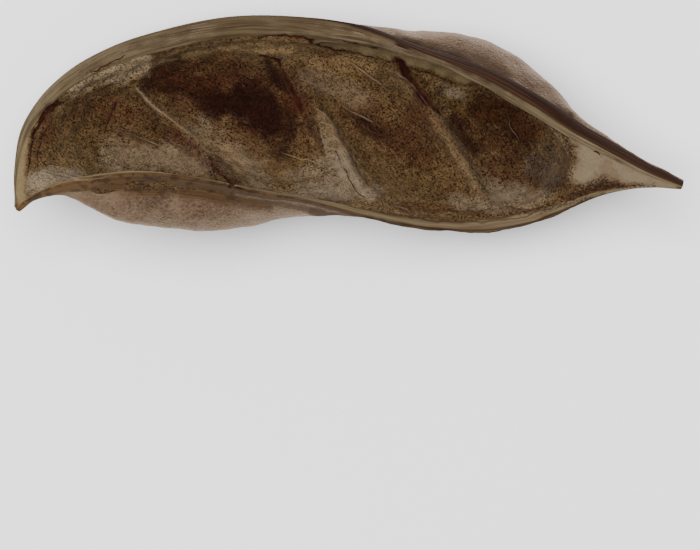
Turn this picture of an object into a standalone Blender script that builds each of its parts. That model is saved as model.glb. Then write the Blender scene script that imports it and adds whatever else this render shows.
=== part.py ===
"""One valve of a dried black bean pod, lying on its back with the seed hollows facing up.

The valve is one woody piece, so it is one object. It is lofted from ribs: each rib is a closed C-shaped
section that runs from the thin seam, round the back of the pod, to the thick seam, and returns along the
lining. The two seams are curves in space, and the way they climb past each other gives the valve its twist.
Lengths are in millimetres and are turned into metres when the mesh is made.
+X runs from the stalk end to the beak, +Y to the thick seam, and +Z up, out of the hollow side.
"""

import math

import bmesh
import bpy
import numpy as np

MM = 0.001

# The outer corner of each seam, from the stalk end to the beak. Point by point, the two lists face each other.
THICK_SEAM = (
    (-77.1, -18.8, 28.8),
    (-77.4, -9.9, 26.5),
    (-76.3, -1.8, 23.3),
    (-72.4, 5.7, 19.8),
    (-65.5, 12.7, 16.8),
    (-55.2, 18.6, 14.8),
    (-42.5, 22.7, 14.0),
    (-27.6, 25.5, 15.0),
    (-11.5, 25.3, 18.8),
    (2.3, 23.0, 24.8),
    (16.1, 17.0, 30.8),
    (29.9, 11.4, 34.2),
    (41.4, 4.9, 35.2),
    (51.7, -1.9, 34.4),
    (60.9, -6.9, 32.2),
    (69.0, -11.2, 30.4),
    (76.4, -14.2, 29.2),
)
THIN_SEAM = (
    (-76.6, -19.6, 29.4),
    (-72.9, -16.7, 30.5),
    (-68.5, -14.6, 32.2),
    (-62.5, -13.0, 34.4),
    (-55.2, -11.7, 36.2),
    (-46.0, -11.3, 37.2),
    (-35.6, -12.5, 37.0),
    (-23.0, -15.2, 35.0),
    (-9.2, -17.9, 30.6),
    (4.6, -21.8, 24.6),
    (18.4, -24.4, 18.6),
    (31.0, -24.9, 15.2),
    (41.4, -23.2, 15.8),
    (50.6, -19.6, 19.6),
    (58.6, -16.4, 23.6),
    (67.8, -14.8, 26.8),
    (76.0, -14.9, 28.6),
)

# Each profile gives a size along the valve, as pairs of (distance in X, size).
DEPTH = (
    (-77, 1.6), (-73, 4.2), (-69, 11.0), (-64, 18.5), (-56, 23.5), (-45, 25.8), (-28, 26.5),
    (-10, 25.6), (4, 25.0), (16, 26.3), (27, 27.1), (35, 25.4), (43, 20.0), (51, 12.4), (58, 8.2),
    (67, 5.2), (76.2, 3.0),
)
BULGE_THIN_SIDE = (
    (-77, 0.0), (-72, 1.6), (-66, 6.6), (-60, 7.6), (-52, 7.8), (-44, 8.2), (-36, 8.2), (-22, 5.6),
    (-8, 3.0), (0, 2.6), (10, 1.4), (40, 0.4), (52, 0.0), (76.2, 0.0),
)
BULGE_THICK_SIDE = (
    (-77, 0.0), (-66, 1.8), (-55, 2.8), (-30, 2.6), (-10, 2.8), (5, 4.6), (14, 5.0), (24, 5.6),
    (34, 3.4), (44, 0.4), (54, -0.6), (76.2, 0.0),
)
WALL = ((-77, 1.2), (-73, 2.6), (-68, 4.6), (-60, 5.8), (60, 6.0), (76.2, 6.0))
THICK_SEAM_HEIGHT = (
    (-77, 1.2), (-72, 2.4), (-60, 3.2), (-20, 3.6), (2, 4.4), (20, 6.0), (42, 6.0), (60, 4.6), (76.2, 2.2),
)
THIN_SEAM_HEIGHT = (
    (-77, 1.2), (-72, 4.2), (-64, 6.0), (-50, 5.0), (-35, 4.0), (0, 3.4), (50, 3.4), (76.2, 1.6),
)
THICK_SEAM_STEP = (
    (-77, 0.1), (-74, 1.4), (-70, 2.6), (-64, 1.8), (-55, 1.1), (-40, 0.9), (50, 0.8), (76.2, 0.1),
)
THIN_SEAM_STEP = ((-77, 0.1), (-70, 0.4), (-60, 0.3), (-45, 0.4), (50, 0.5), (76.2, 0.1))
THICK_SEAM_WIDTH = (
    (-77, 0.3), (-74, 2.8), (-70, 3.8), (-60, 5.6), (-48, 6.4), (-28, 6.4), (-14, 5.8), (-2, 6.0),
    (8, 4.2), (18, 2.4), (28, 2.8), (38, 3.8), (47, 3.0), (60, 2.0), (76.2, 0.4),
)
THIN_SEAM_WIDTH = (
    (-77, 0.3), (-70, 1.2), (-50, 1.1), (-30, 1.2), (-10, 1.7), (8, 2.8), (25, 3.2), (36, 4.0),
    (48, 3.8), (60, 2.0), (76.2, 0.4),
)

# The wall of the hollow near the seams, and how square a section is: 1 is an ellipse, less is fuller.
WALL_AT_SEAMS = 4.6
FULLNESS = 0.88

# The dents that the four seeds left: centre X and Y, half length, half width, turn in degrees, depth.
SEED_DENTS = (
    (-54.0, -1.0, 24.0, 12.5, -24.0, 2.6),
    (-27.0, 2.5, 28.0, 15.0, -34.0, 3.0),
    (7.0, -1.0, 30.0, 14.0, -44.0, 2.6),
    (36.5, -5.0, 25.0, 14.0, -36.0, 2.8),
)
# The crests that stand between two seeds, from the thick seam down to the thin one, in plan.
CRESTS = (
    ((-49.4, 9.2), (-46.0, 4.6), (-39.1, -1.1), (-32.2, -8.0), (-25.7, -14.0)),
    ((-13.8, 17.2), (-10.3, 9.2), (-7.4, 3.0), (-2.3, -5.7), (0.5, -12.6), (5.7, -17.2)),
    ((11.5, 13.8), (16.1, 7.6), (20.0, 0.0), (24.1, -5.7), (27.6, -11.5), (31.0, -18.4)),
)
CREST_HEIGHT = 3.4
CREST_REACH = 2.6
CREST_ROUNDING = 0.9
# The back swells a little over the seeds, and the valve rests on these three places: X, Y, reach, height.
BACK_SWELLINGS = ((-25.0, 7.5, 9.0, 0.35), (-12.0, -6.5, 10.0, 1.75), (25.0, -5.0, 9.0, 0.35))

# Where the hollow starts and ends, how long its end slopes are, and how round its end is in plan.
HOLLOW_FROM = -76.5
HOLLOW_TO = 52.0
START_SLOPE = 6.0
END_SLOPE = 7.5
END_ROUNDING = 6.0

CORNER = 0.35
SEAM_FOOT = 0.75
RIBS = 78
BACK_STEPS = 22
LINING_STEPS = 32
SLANT = 12.0
SHALLOWEST = 0.1
SMALL_ANGLE = 0.01
SINK = 0.45

WOOD_BROWN = (0.115, 0.062, 0.034, 1.0)


def through(points, at):
    """The smooth curve through (place, value, ...) points, read at every place in the array at."""
    table = np.array(points, float)
    knots, values = table[:, 0], table[:, 1:]
    slopes = np.gradient(values, knots, axis=0)
    at = np.clip(at, knots[0], knots[-1])
    left = np.clip(np.searchsorted(knots, at, side="right") - 1, 0, len(knots) - 2)
    span = (knots[left + 1] - knots[left])[..., None]
    share = (at - knots[left])[..., None] / span
    return (
        (1 + 2 * share) * (1 - share) ** 2 * values[left]
        + share * (1 - share) ** 2 * span * slopes[left]
        + share**2 * (3 - 2 * share) * values[left + 1]
        + share**2 * (share - 1) * span * slopes[left + 1]
    )


def profile(points, x):
    """A size along the valve, read at X."""
    return through(points, x)[..., 0]


def unit(vectors):
    return vectors / np.linalg.norm(vectors, axis=-1, keepdims=True)


def seam_table():
    """Both seams against the distance travelled along the middle of the valve."""
    thick, thin = np.array(THICK_SEAM), np.array(THIN_SEAM)
    steps = np.linalg.norm(np.diff((thick + thin) / 2, axis=0), axis=1)
    travelled = np.concatenate([[0.0], np.cumsum(steps)])
    return np.column_stack([travelled, thick, thin])


def frames(travel):
    """At each distance: the chord's middle, the way across it to the thick seam, the way down, half its width."""
    table = seam_table()
    seams = through(table, travel)
    thick, thin = seams[..., :3], seams[..., 3:]
    ahead = through(table, travel + 1) - through(table, travel - 1)
    along = ahead[..., :3] + ahead[..., 3:]
    across = unit(thick - thin)
    down = -unit(np.cross(along, across))
    half = np.linalg.norm(thick - thin, axis=-1) / 2
    return (thick + thin) / 2, across, down, half


def swell(angle):
    """How far the side of the pod swells along a section: 0 at both seams, 1 a third of the way round."""
    return np.sin(angle) * (1 + np.cos(angle)) / 1.299


def arc(angle, half_width, shift, top, depth, swell_thin, swell_thick):
    """(sideways, down) of an arc round the pod's back, from the thin seam at 0 to the thick seam at pi."""
    sideways = shift - half_width * np.cos(angle)
    sideways = sideways - swell_thin * swell(angle) + swell_thick * swell(math.pi - angle)
    down = top + (depth - top) * np.sin(angle).clip(0) ** FULLNESS
    return sideways, down


def smoothstep(low, high, value):
    share = np.clip((value - low) / (high - low), 0, 1)
    return share * share * (3 - 2 * share)


def distance_to(line, x, y):
    """The shortest way in plan from each place to a line of points."""
    nearest = np.full_like(x, np.inf)
    for (x0, y0), (x1, y1) in zip(line, line[1:]):
        dx, dy = x1 - x0, y1 - y0
        share = np.clip(((x - x0) * dx + (y - y0) * dy) / (dx * dx + dy * dy), 0, 1)
        nearest = np.minimum(nearest, np.hypot(x - x0 - share * dx, y - y0 - share * dy))
    return nearest


def seed_relief(x, y):
    """How deep the seeds pressed into the lining at a place in plan, less the crests left between them."""
    relief = np.zeros_like(x)
    for centre_x, centre_y, half_length, half_width, turn, depth in SEED_DENTS:
        turn = math.radians(turn)
        along = (x - centre_x) * math.cos(turn) + (y - centre_y) * math.sin(turn)
        aside = (y - centre_y) * math.cos(turn) - (x - centre_x) * math.sin(turn)
        reach = (along / half_length) ** 2 + (aside / half_width) ** 2
        relief = np.maximum(relief, depth * np.clip(1 - reach, 0, 1))
    for line in CRESTS:
        away = np.hypot(distance_to(line, x, y), CREST_ROUNDING) - CREST_ROUNDING
        relief = relief - CREST_HEIGHT * np.exp(-away / CREST_REACH)
    return relief


def back_swelling(x, y):
    """How far the back hangs lower at a place in plan, over the seeds that lay there."""
    lower = np.zeros_like(x)
    for centre_x, centre_y, reach, height in BACK_SWELLINGS:
        lower = np.maximum(lower, height * np.exp(-((x - centre_x) ** 2 + (y - centre_y) ** 2) / reach**2))
    return lower


def slanted(ribs, angle):
    """The distance along the valve of each point of each rib. The ribs slant as the seeds lay in the pod."""
    length = seam_table()[-1, 0]
    even = np.linspace(0, 1, ribs)
    eased = 0.5 - 0.5 * np.cos(math.pi * even)
    travel = length * (0.7 * even + 0.3 * eased)
    room = np.minimum(travel, length - travel) / (length / 2)
    return travel[:, None] + SLANT * np.outer(smoothstep(0, 1, room), np.cos(angle))


def in_space(frame, sideways, down):
    middle, across, down_way, _ = frame
    return middle + sideways[..., None] * across + down[..., None] * down_way


def outside(ribs, steps):
    """The points of each rib's outer side: the thin seam's corners, the back, the thick seam's corners."""
    angle = np.concatenate([[0.0] * 3, np.linspace(0, math.pi, steps + 1), [math.pi] * 3])
    frame = frames(slanted(ribs, angle))
    x, half = frame[0][..., 0], frame[3]
    corner = np.minimum(CORNER, 0.2 * half)
    share = (1 - np.cos(angle)) / 2
    height = share * profile(THICK_SEAM_HEIGHT, x) + (1 - share) * profile(THIN_SEAM_HEIGHT, x)
    thin_step, thick_step = profile(THIN_SEAM_STEP, x), profile(THICK_SEAM_STEP, x)
    sideways, down = arc(
        angle, half - (thin_step + thick_step) / 2, (thin_step - thick_step) / 2, height,
        profile(DEPTH, x), profile(BULGE_THIN_SIDE, x), profile(BULGE_THICK_SIDE, x),
    )
    for column, inward, lower in ((0, corner, 0), (1, 0, corner), (2, 0, SEAM_FOOT * height)):
        mirrored = -1 - column
        sideways[:, column] = (inward - half)[:, column]
        sideways[:, mirrored] = (half - inward)[:, mirrored]
        down[:, column] = (0 * half + lower)[:, column]
        down[:, mirrored] = (0 * half + lower)[:, mirrored]
    points = in_space(frame, sideways, down)
    points[..., 2] -= back_swelling(points[..., 0], points[..., 1]) * np.sin(angle)
    return points


def hollow_arc(angle, x, half, depth):
    """(sideways, down) of the lining before the seeds press into it."""
    corner = np.minimum(CORNER, 0.2 * half)
    thin_width, thick_width = profile(THIN_SEAM_WIDTH, x), profile(THICK_SEAM_WIDTH, x)
    thin_swell = profile(BULGE_THIN_SIDE, x) + thin_width - profile(THIN_SEAM_STEP, x) - WALL_AT_SEAMS
    thick_swell = profile(BULGE_THICK_SIDE, x) + thick_width - profile(THICK_SEAM_STEP, x) - WALL_AT_SEAMS
    half_width, shift = half - (thin_width + thick_width) / 2, (thin_width - thick_width) / 2
    sideways, down = arc(angle, half_width, shift, corner, depth, thin_swell, thick_swell)
    end = HOLLOW_TO - END_ROUNDING * np.cos(angle) ** 2
    openness = smoothstep(HOLLOW_FROM, HOLLOW_FROM + START_SLOPE, x)
    openness = openness * smoothstep(-end, END_SLOPE - end, -x)
    flat = shift - half_width * np.cos(angle)
    return flat + openness * (sideways - flat), corner + openness * (down - corner), openness


def lining(ribs, steps):
    """The points of each rib's inner side, from the thick seam back to the thin one."""
    angle = np.linspace(math.pi, 0, steps + 1)
    frame = frames(slanted(ribs, angle))
    x, half = frame[0][..., 0], frame[3]
    corner = np.minimum(CORNER, 0.2 * half)
    depth = np.maximum(profile(DEPTH, x) - profile(WALL, x), corner + SHALLOWEST)
    sideways, down, openness = hollow_arc(angle, x, half, depth)
    after = hollow_arc(np.minimum(angle + SMALL_ANGLE, math.pi), x, half, depth)
    before = hollow_arc(np.maximum(angle - SMALL_ANGLE, 0), x, half, depth)
    aside, below = after[0] - before[0], after[1] - before[1]
    length = np.maximum(np.hypot(aside, below), 1e-9)
    place = in_space(frame, sideways, down)
    pushed = openness * seed_relief(place[..., 0], place[..., 1]) * np.sin(angle).clip(0) ** 0.5
    return in_space(frame, sideways - pushed * below / length, down + pushed * aside / length)


def valve_ribs(ribs=RIBS, back_steps=BACK_STEPS, lining_steps=LINING_STEPS):
    """Every rib as a closed loop of points in millimetres, standing on the spots that the back rests on."""
    loops = np.concatenate([outside(ribs, back_steps), lining(ribs, lining_steps)], axis=1)
    lowest, highest = loops.min(axis=(0, 1)), loops.max(axis=(0, 1))
    middle = (lowest + highest) / 2
    loops -= (middle[0], middle[1], lowest[2] + SINK)
    loops[..., 2] = loops[..., 2].clip(0)
    return loops


def valve_mesh():
    built = bmesh.new()
    loops = [[built.verts.new(point * MM) for point in rib] for rib in valve_ribs()]
    around = len(loops[0])
    for here, there in zip(loops, loops[1:]):
        for i in range(around):
            j = (i + 1) % around
            built.faces.new((here[i], here[j], there[j], there[i]))
    built.faces.new(loops[0])
    built.faces.new(reversed(loops[-1]))
    bmesh.ops.triangulate(built, faces=built.faces[:], quad_method="SHORT_EDGE")
    bmesh.ops.recalc_face_normals(built, faces=built.faces)
    mesh = bpy.data.meshes.new("pod_valve")
    built.to_mesh(mesh)
    built.free()
    mesh.shade_smooth()
    mesh.set_sharp_from_angle(angle=math.radians(50))
    return mesh


def woody_brown():
    material = bpy.data.materials.new("woody_brown")
    material.use_nodes = True
    shader = material.node_tree.nodes["Principled BSDF"]
    shader.inputs["Base Color"].default_value = WOOD_BROWN
    shader.inputs["Roughness"].default_value = 0.75
    shader.inputs["Metallic"].default_value = 0.0
    return material


def main():
    for leftover in list(bpy.data.objects):
        bpy.data.objects.remove(leftover)
    valve = bpy.data.objects.new("pod_valve", valve_mesh())
    valve.data.materials.append(woody_brown())
    bpy.context.scene.collection.objects.link(valve)


main()
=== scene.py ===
# %% [markdown]
# # A dried bean pod valve
# This is one half of a woody seed pod, lying on its back with the seed hollows facing up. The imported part
# already has the right size and twist, so this script keeps that shape and adds what the eye sees from
# near: fibres along the seams, cracks, the mottled lining and the felt on the back.

import math
from types import SimpleNamespace

import bpy
import numpy as np
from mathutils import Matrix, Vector


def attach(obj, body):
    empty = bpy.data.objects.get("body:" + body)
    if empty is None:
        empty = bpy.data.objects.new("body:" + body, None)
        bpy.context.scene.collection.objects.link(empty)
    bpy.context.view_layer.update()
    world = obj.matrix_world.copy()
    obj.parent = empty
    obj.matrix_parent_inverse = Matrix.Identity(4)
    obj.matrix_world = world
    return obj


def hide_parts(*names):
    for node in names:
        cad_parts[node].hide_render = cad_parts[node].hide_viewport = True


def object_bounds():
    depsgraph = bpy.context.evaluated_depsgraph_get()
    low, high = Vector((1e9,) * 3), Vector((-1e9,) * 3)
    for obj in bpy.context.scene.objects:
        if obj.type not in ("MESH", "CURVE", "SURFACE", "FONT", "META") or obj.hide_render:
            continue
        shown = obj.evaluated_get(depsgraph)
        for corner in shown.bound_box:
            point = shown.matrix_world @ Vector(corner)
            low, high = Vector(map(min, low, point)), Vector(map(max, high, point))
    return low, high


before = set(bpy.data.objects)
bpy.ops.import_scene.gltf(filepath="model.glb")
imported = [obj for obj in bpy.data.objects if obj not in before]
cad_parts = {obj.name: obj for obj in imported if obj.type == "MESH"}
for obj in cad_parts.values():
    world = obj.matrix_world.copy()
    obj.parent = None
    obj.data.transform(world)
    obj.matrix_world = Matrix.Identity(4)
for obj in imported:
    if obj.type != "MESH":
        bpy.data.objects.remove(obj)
cad_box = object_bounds()
MM = 0.001
print("the part's box in mm:", [[round(value / MM, 2) for value in corner] for corner in cad_box])

# %% [markdown]
# ## The two seams
# A pod splits along two seams. The thick one carried the seeds, the thin one faces it. The valve dries
# and twists, so each seam is a curve in space. Both are lists of points from the stalk end to the beak,
# in millimetres, and everything else hangs between them. These are the part's own numbers, because the
# finer surface has to lie on it.

# %% The seams and the sizes along the valve
THICK_SEAM = (
    (-77.1, -18.8, 28.8), (-77.4, -9.9, 26.5), (-76.3, -1.8, 23.3), (-72.4, 5.7, 19.8),
    (-65.5, 12.7, 16.8), (-55.2, 18.6, 14.8), (-42.5, 22.7, 14), (-27.6, 25.5, 15), (-11.5, 25.3, 18.8),
    (2.3, 23, 24.8), (16.1, 17, 30.8), (29.9, 11.4, 34.2), (41.4, 4.9, 35.2), (51.7, -1.9, 34.4),
    (60.9, -6.9, 32.2), (69, -11.2, 30.4), (76.4, -14.2, 29.2),
)
THIN_SEAM = (
    (-76.6, -19.6, 29.4), (-72.9, -16.7, 30.5), (-68.5, -14.6, 32.2), (-62.5, -13, 34.4),
    (-55.2, -11.7, 36.2), (-46, -11.3, 37.2), (-35.6, -12.5, 37), (-23, -15.2, 35), (-9.2, -17.9, 30.6),
    (4.6, -21.8, 24.6), (18.4, -24.4, 18.6), (31, -24.9, 15.2), (41.4, -23.2, 15.8), (50.6, -19.6, 19.6),
    (58.6, -16.4, 23.6), (67.8, -14.8, 26.8), (76, -14.9, 28.6),
)
DEPTH = (
    (-77, 1.6), (-73, 4.2), (-69, 11), (-64, 18.5), (-56, 23.5), (-45, 25.8), (-28, 26.5), (-10, 25.6),
    (4, 25), (16, 26.3), (27, 27.1), (35, 25.4), (43, 20), (51, 12.4), (58, 8.2), (67, 5.2), (76.2, 3),
)
BULGE_THIN_SIDE = (
    (-77, 0), (-72, 1.6), (-66, 6.6), (-60, 7.6), (-52, 7.8), (-44, 8.2), (-36, 8.2), (-22, 5.6),
    (-8, 3), (0, 2.6), (10, 1.4), (40, 0.4), (52, 0), (76.2, 0),
)
BULGE_THICK_SIDE = (
    (-77, 0), (-66, 1.8), (-55, 2.8), (-30, 2.6), (-10, 2.8), (5, 4.6), (14, 5), (24, 5.6), (34, 3.4),
    (44, 0.4), (54, -0.6), (76.2, 0),
)
WALL = ((-77, 1.2), (-73, 2.6), (-68, 4.6), (-60, 5.8), (60, 6.0), (76.2, 6.0))
THICK_SEAM_HEIGHT = (
    (-77, 1.2), (-72, 2.4), (-60, 3.2), (-20, 3.6), (2, 4.4), (20, 6), (42, 6), (60, 4.6), (76.2, 2.2),
)
THIN_SEAM_HEIGHT = (
    (-77, 1.2), (-72, 4.2), (-64, 6), (-50, 5), (-35, 4), (0, 3.4), (50, 3.4), (76.2, 1.6),
)
THICK_SEAM_STEP = (
    (-77, 0.1), (-74, 1.4), (-70, 2.6), (-64, 1.8), (-55, 1.1), (-40, 0.9), (50, 0.8), (76.2, 0.1),
)
THIN_SEAM_STEP = ((-77, 0.1), (-70, 0.4), (-60, 0.3), (-45, 0.4), (50, 0.5), (76.2, 0.1))
THICK_SEAM_WIDTH = (
    (-77, 0.3), (-74, 2.8), (-70, 3.8), (-60, 5.6), (-48, 6.4), (-28, 6.4), (-14, 5.8), (-2, 6),
    (8, 4.2), (18, 2.4), (28, 2.8), (38, 3.8), (47, 3), (60, 2), (76.2, 0.4),
)
THIN_SEAM_WIDTH = (
    (-77, 0.3), (-70, 1.2), (-50, 1.1), (-30, 1.2), (-10, 1.7), (8, 2.8), (25, 3.2), (36, 4), (48, 3.8),
    (60, 2), (76.2, 0.4),
)
WALL_AT_SEAMS = 4.6
FULLNESS = 0.88
print("points on each seam:", len(THICK_SEAM))

# %% [markdown]
# ## The marks of the seeds
# Four big seeds pressed into the soft lining while they grew, and a crest was left between each pair. The
# dents are soft ellipses and the crests are lines, both read in plan, so they can be moved about like
# marks on a map.

# %% Seed dents, crests and the swellings of the back
SEED_DENTS = (
    (-54.0, -1.0, 24.0, 12.5, -24.0, 2.6),
    (-27.0, 2.5, 28.0, 15.0, -34.0, 3.0),
    (7.0, -1.0, 30.0, 14.0, -44.0, 2.6),
    (36.5, -5.0, 25.0, 14.0, -36.0, 2.8),
)
CRESTS = (
    ((-49.4, 9.2), (-46.0, 4.6), (-39.1, -1.1), (-32.2, -8.0), (-25.7, -14.0)),
    ((-13.8, 17.2), (-10.3, 9.2), (-7.4, 3.0), (-2.3, -5.7), (0.5, -12.6), (5.7, -17.2)),
    ((11.5, 13.8), (16.1, 7.6), (20.0, 0.0), (24.1, -5.7), (27.6, -11.5), (31.0, -18.4)),
)
CREST_HEIGHT, CREST_REACH, CREST_ROUNDING = 3.4, 2.6, 0.9
BACK_SWELLINGS = ((-25.0, 7.5, 9.0, 0.35), (-12.0, -6.5, 10.0, 1.75), (25.0, -5.0, 9.0, 0.35))
HOLLOW_FROM, HOLLOW_TO = -76.5, 52.0
START_SLOPE, END_SLOPE, END_ROUNDING = 6.0, 7.5, 6.0
CORNER, SEAM_FOOT, SLANT, SHALLOWEST, SMALL_ANGLE, SINK = 0.35, 0.75, 12.0, 0.1, 0.01, 0.45


def through(points, at):
    """The smooth curve through (place, value, ...) points, read at every place in the array at."""
    table = np.array(points, float)
    knots, values = table[:, 0], table[:, 1:]
    slopes = np.gradient(values, knots, axis=0)
    at = np.clip(at, knots[0], knots[-1])
    left = np.clip(np.searchsorted(knots, at, side="right") - 1, 0, len(knots) - 2)
    span = (knots[left + 1] - knots[left])[..., None]
    share = (at - knots[left])[..., None] / span
    return (
        (1 + 2 * share) * (1 - share) ** 2 * values[left]
        + share * (1 - share) ** 2 * span * slopes[left]
        + share**2 * (3 - 2 * share) * values[left + 1]
        + share**2 * (share - 1) * span * slopes[left + 1]
    )


def profile(points, x):
    return through(points, x)[..., 0]


def unit(vectors):
    return vectors / np.maximum(np.linalg.norm(vectors, axis=-1, keepdims=True), 1e-12)


def smoothstep(low, high, value):
    share = np.clip((value - low) / (high - low), 0, 1)
    return share * share * (3 - 2 * share)


def nearest_on(line, x, y):
    """For each place in plan: how far the nearest point of a line is, on which side, and how far along."""
    best, side, along = np.full_like(x, np.inf), np.zeros_like(x), np.zeros_like(x)
    for number, ((x0, y0), (x1, y1)) in enumerate(zip(line, line[1:])):
        dx, dy = x1 - x0, y1 - y0
        share = np.clip(((x - x0) * dx + (y - y0) * dy) / (dx * dx + dy * dy), 0, 1)
        away_x, away_y = x - x0 - share * dx, y - y0 - share * dy
        away = np.hypot(away_x, away_y)
        closer = away < best
        best = np.where(closer, away, best)
        side = np.where(closer, np.sign(dx * away_y - dy * away_x), side)
        along = np.where(closer, (number + share) / (len(line) - 1), along)
    return best, side, along


def seed_relief(x, y):
    """How deep the seeds pressed into the lining at a place in plan, less the crests left between them."""
    relief = np.zeros_like(x)
    for centre_x, centre_y, half_length, half_width, turn, depth in SEED_DENTS:
        turn = math.radians(turn)
        along = (x - centre_x) * math.cos(turn) + (y - centre_y) * math.sin(turn)
        aside = (y - centre_y) * math.cos(turn) - (x - centre_x) * math.sin(turn)
        reach = (along / half_length) ** 2 + (aside / half_width) ** 2
        relief = np.maximum(relief, depth * np.clip(1 - reach, 0, 1))
    for line in CRESTS:
        away = np.hypot(nearest_on(line, x, y)[0], CREST_ROUNDING) - CREST_ROUNDING
        relief = relief - CREST_HEIGHT * np.exp(-away / CREST_REACH)
    return relief


def back_swelling(x, y):
    lower = np.zeros_like(x)
    for centre_x, centre_y, reach, height in BACK_SWELLINGS:
        lower = np.maximum(lower, height * np.exp(-((x - centre_x) ** 2 + (y - centre_y) ** 2) / reach**2))
    return lower


print("dents and crests:", len(SEED_DENTS), len(CRESTS))

# %% [markdown]
# ## Ribs
# The valve is lofted: a C-shaped rib is drawn at many places along it and neighbouring ribs are joined.
# Each rib starts at the thin seam, goes round the back to the thick seam and comes home along the lining.
# The part uses a few dozen ribs; here there are hundreds, so that cracks and crests come out smooth.

# %% Draw one family of ribs
RIBS, BACK_STEPS, LINING_STEPS = 384, 84, 132
EVEN_SPACING, CORNER_SHARE, SWELL_TOP = 0.7, 0.2, 1.299


def frames(travel):
    """At each distance: the chord's middle, the ways across to the thick seam and down, half the width."""
    seams = through(SEAM_TABLE, travel)
    thick, thin = seams[..., :3], seams[..., 3:]
    ahead = through(SEAM_TABLE, travel + 1) - through(SEAM_TABLE, travel - 1)
    along = ahead[..., :3] + ahead[..., 3:]
    across = unit(thick - thin)
    down = -unit(np.cross(along, across))
    return (thick + thin) / 2, across, down, np.linalg.norm(thick - thin, axis=-1) / 2


def seam_table():
    thick, thin = np.array(THICK_SEAM), np.array(THIN_SEAM)
    steps = np.linalg.norm(np.diff((thick + thin) / 2, axis=0), axis=1)
    return np.column_stack([np.concatenate([[0.0], np.cumsum(steps)]), thick, thin])


SEAM_TABLE = seam_table()
LENGTH = SEAM_TABLE[-1, 0]


def swell(angle):
    """A bulge low on one side of the back, 1 at its highest."""
    return np.sin(angle) * (1 + np.cos(angle)) / SWELL_TOP


def arc(angle, half_width, shift, top, depth, swell_thin, swell_thick):
    sideways = shift - half_width * np.cos(angle)
    sideways = sideways - swell_thin * swell(angle) + swell_thick * swell(math.pi - angle)
    return sideways, top + (depth - top) * np.sin(angle).clip(0) ** FULLNESS


def slanted(angle):
    """The distance along the valve of each point of each rib, which leans as the seeds lay in the pod."""
    even = np.linspace(0, 1, RIBS)
    crowded = 0.5 - 0.5 * np.cos(math.pi * even)
    travel = LENGTH * (EVEN_SPACING * even + (1 - EVEN_SPACING) * crowded)
    room = np.minimum(travel, LENGTH - travel) / (LENGTH / 2)
    return travel[:, None] + SLANT * np.outer(smoothstep(0, 1, room), np.cos(angle))


def in_space(frame_there, sideways, down):
    middle, across, down_way, _ = frame_there
    return middle + sideways[..., None] * across + down[..., None] * down_way


def outside():
    angle = np.concatenate([[0.0] * 3, np.linspace(0, math.pi, BACK_STEPS + 1), [math.pi] * 3])
    travel = slanted(angle)
    there = frames(travel)
    x, half = there[0][..., 0], there[3]
    corner = np.minimum(CORNER, CORNER_SHARE * half)
    share = (1 - np.cos(angle)) / 2
    height = share * profile(THICK_SEAM_HEIGHT, x) + (1 - share) * profile(THIN_SEAM_HEIGHT, x)
    thin_step, thick_step = profile(THIN_SEAM_STEP, x), profile(THICK_SEAM_STEP, x)
    sideways, down = arc(
        angle, half - (thin_step + thick_step) / 2, (thin_step - thick_step) / 2, height,
        profile(DEPTH, x), profile(BULGE_THIN_SIDE, x), profile(BULGE_THICK_SIDE, x),
    )
    for column, inward, lower in ((0, corner, 0), (1, 0, corner), (2, 0, SEAM_FOOT * height)):
        mirrored = -1 - column
        for at, side in ((column, -1), (mirrored, 1)):
            sideways[:, at] = side * (half - inward)[:, at]
            down[:, at] = (0 * half + lower)[:, at]
    points = in_space(there, sideways, down)
    points[..., 2] -= back_swelling(points[..., 0], points[..., 1]) * np.sin(angle)
    return points, travel


def hollow_arc(angle, x, half, depth):
    corner = np.minimum(CORNER, CORNER_SHARE * half)
    thin_width, thick_width = profile(THIN_SEAM_WIDTH, x), profile(THICK_SEAM_WIDTH, x)
    thin_swell = profile(BULGE_THIN_SIDE, x) + thin_width - profile(THIN_SEAM_STEP, x) - WALL_AT_SEAMS
    thick_swell = profile(BULGE_THICK_SIDE, x) + thick_width - profile(THICK_SEAM_STEP, x) - WALL_AT_SEAMS
    half_width, shift = half - (thin_width + thick_width) / 2, (thin_width - thick_width) / 2
    sideways, down = arc(angle, half_width, shift, corner, depth, thin_swell, thick_swell)
    end = HOLLOW_TO - END_ROUNDING * np.cos(angle) ** 2
    openness = smoothstep(HOLLOW_FROM, HOLLOW_FROM + START_SLOPE, x) * smoothstep(-end, END_SLOPE - end, -x)
    flat = shift - half_width * np.cos(angle)
    return flat + openness * (sideways - flat), corner + openness * (down - corner), openness


def lining():
    angle = np.linspace(math.pi, 0, LINING_STEPS + 1)
    travel = slanted(angle)
    there = frames(travel)
    x, half = there[0][..., 0], there[3]
    corner = np.minimum(CORNER, CORNER_SHARE * half)
    depth = np.maximum(profile(DEPTH, x) - profile(WALL, x), corner + SHALLOWEST)
    sideways, down, openness = hollow_arc(angle, x, half, depth)
    after = hollow_arc(np.minimum(angle + SMALL_ANGLE, math.pi), x, half, depth)
    before = hollow_arc(np.maximum(angle - SMALL_ANGLE, 0), x, half, depth)
    aside, below = after[0] - before[0], after[1] - before[1]
    length = np.maximum(np.hypot(aside, below), 1e-9)
    place = in_space(there, sideways, down)
    pushed = openness * seed_relief(place[..., 0], place[..., 1]) * np.sin(angle).clip(0) ** 0.5
    place = in_space(there, sideways - pushed * below / length, down + pushed * aside / length)
    return place, travel, openness


outer, outer_travel = outside()
inner, inner_travel, inner_openness = lining()
print("ribs:", RIBS, "points on each:", outer.shape[1] + inner.shape[1])

# %% [markdown]
# ## The seam faces
# Where the pod split, the wall shows its cut edge: wide along the thick seam, narrow along the thin one.
# A single strip of faces would stay flat, so the long steps of every rib are divided, and then the inner
# edge is rubbed down by averaging each point with its neighbours, which is how a dried edge gets its soft
# roll.

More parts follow.
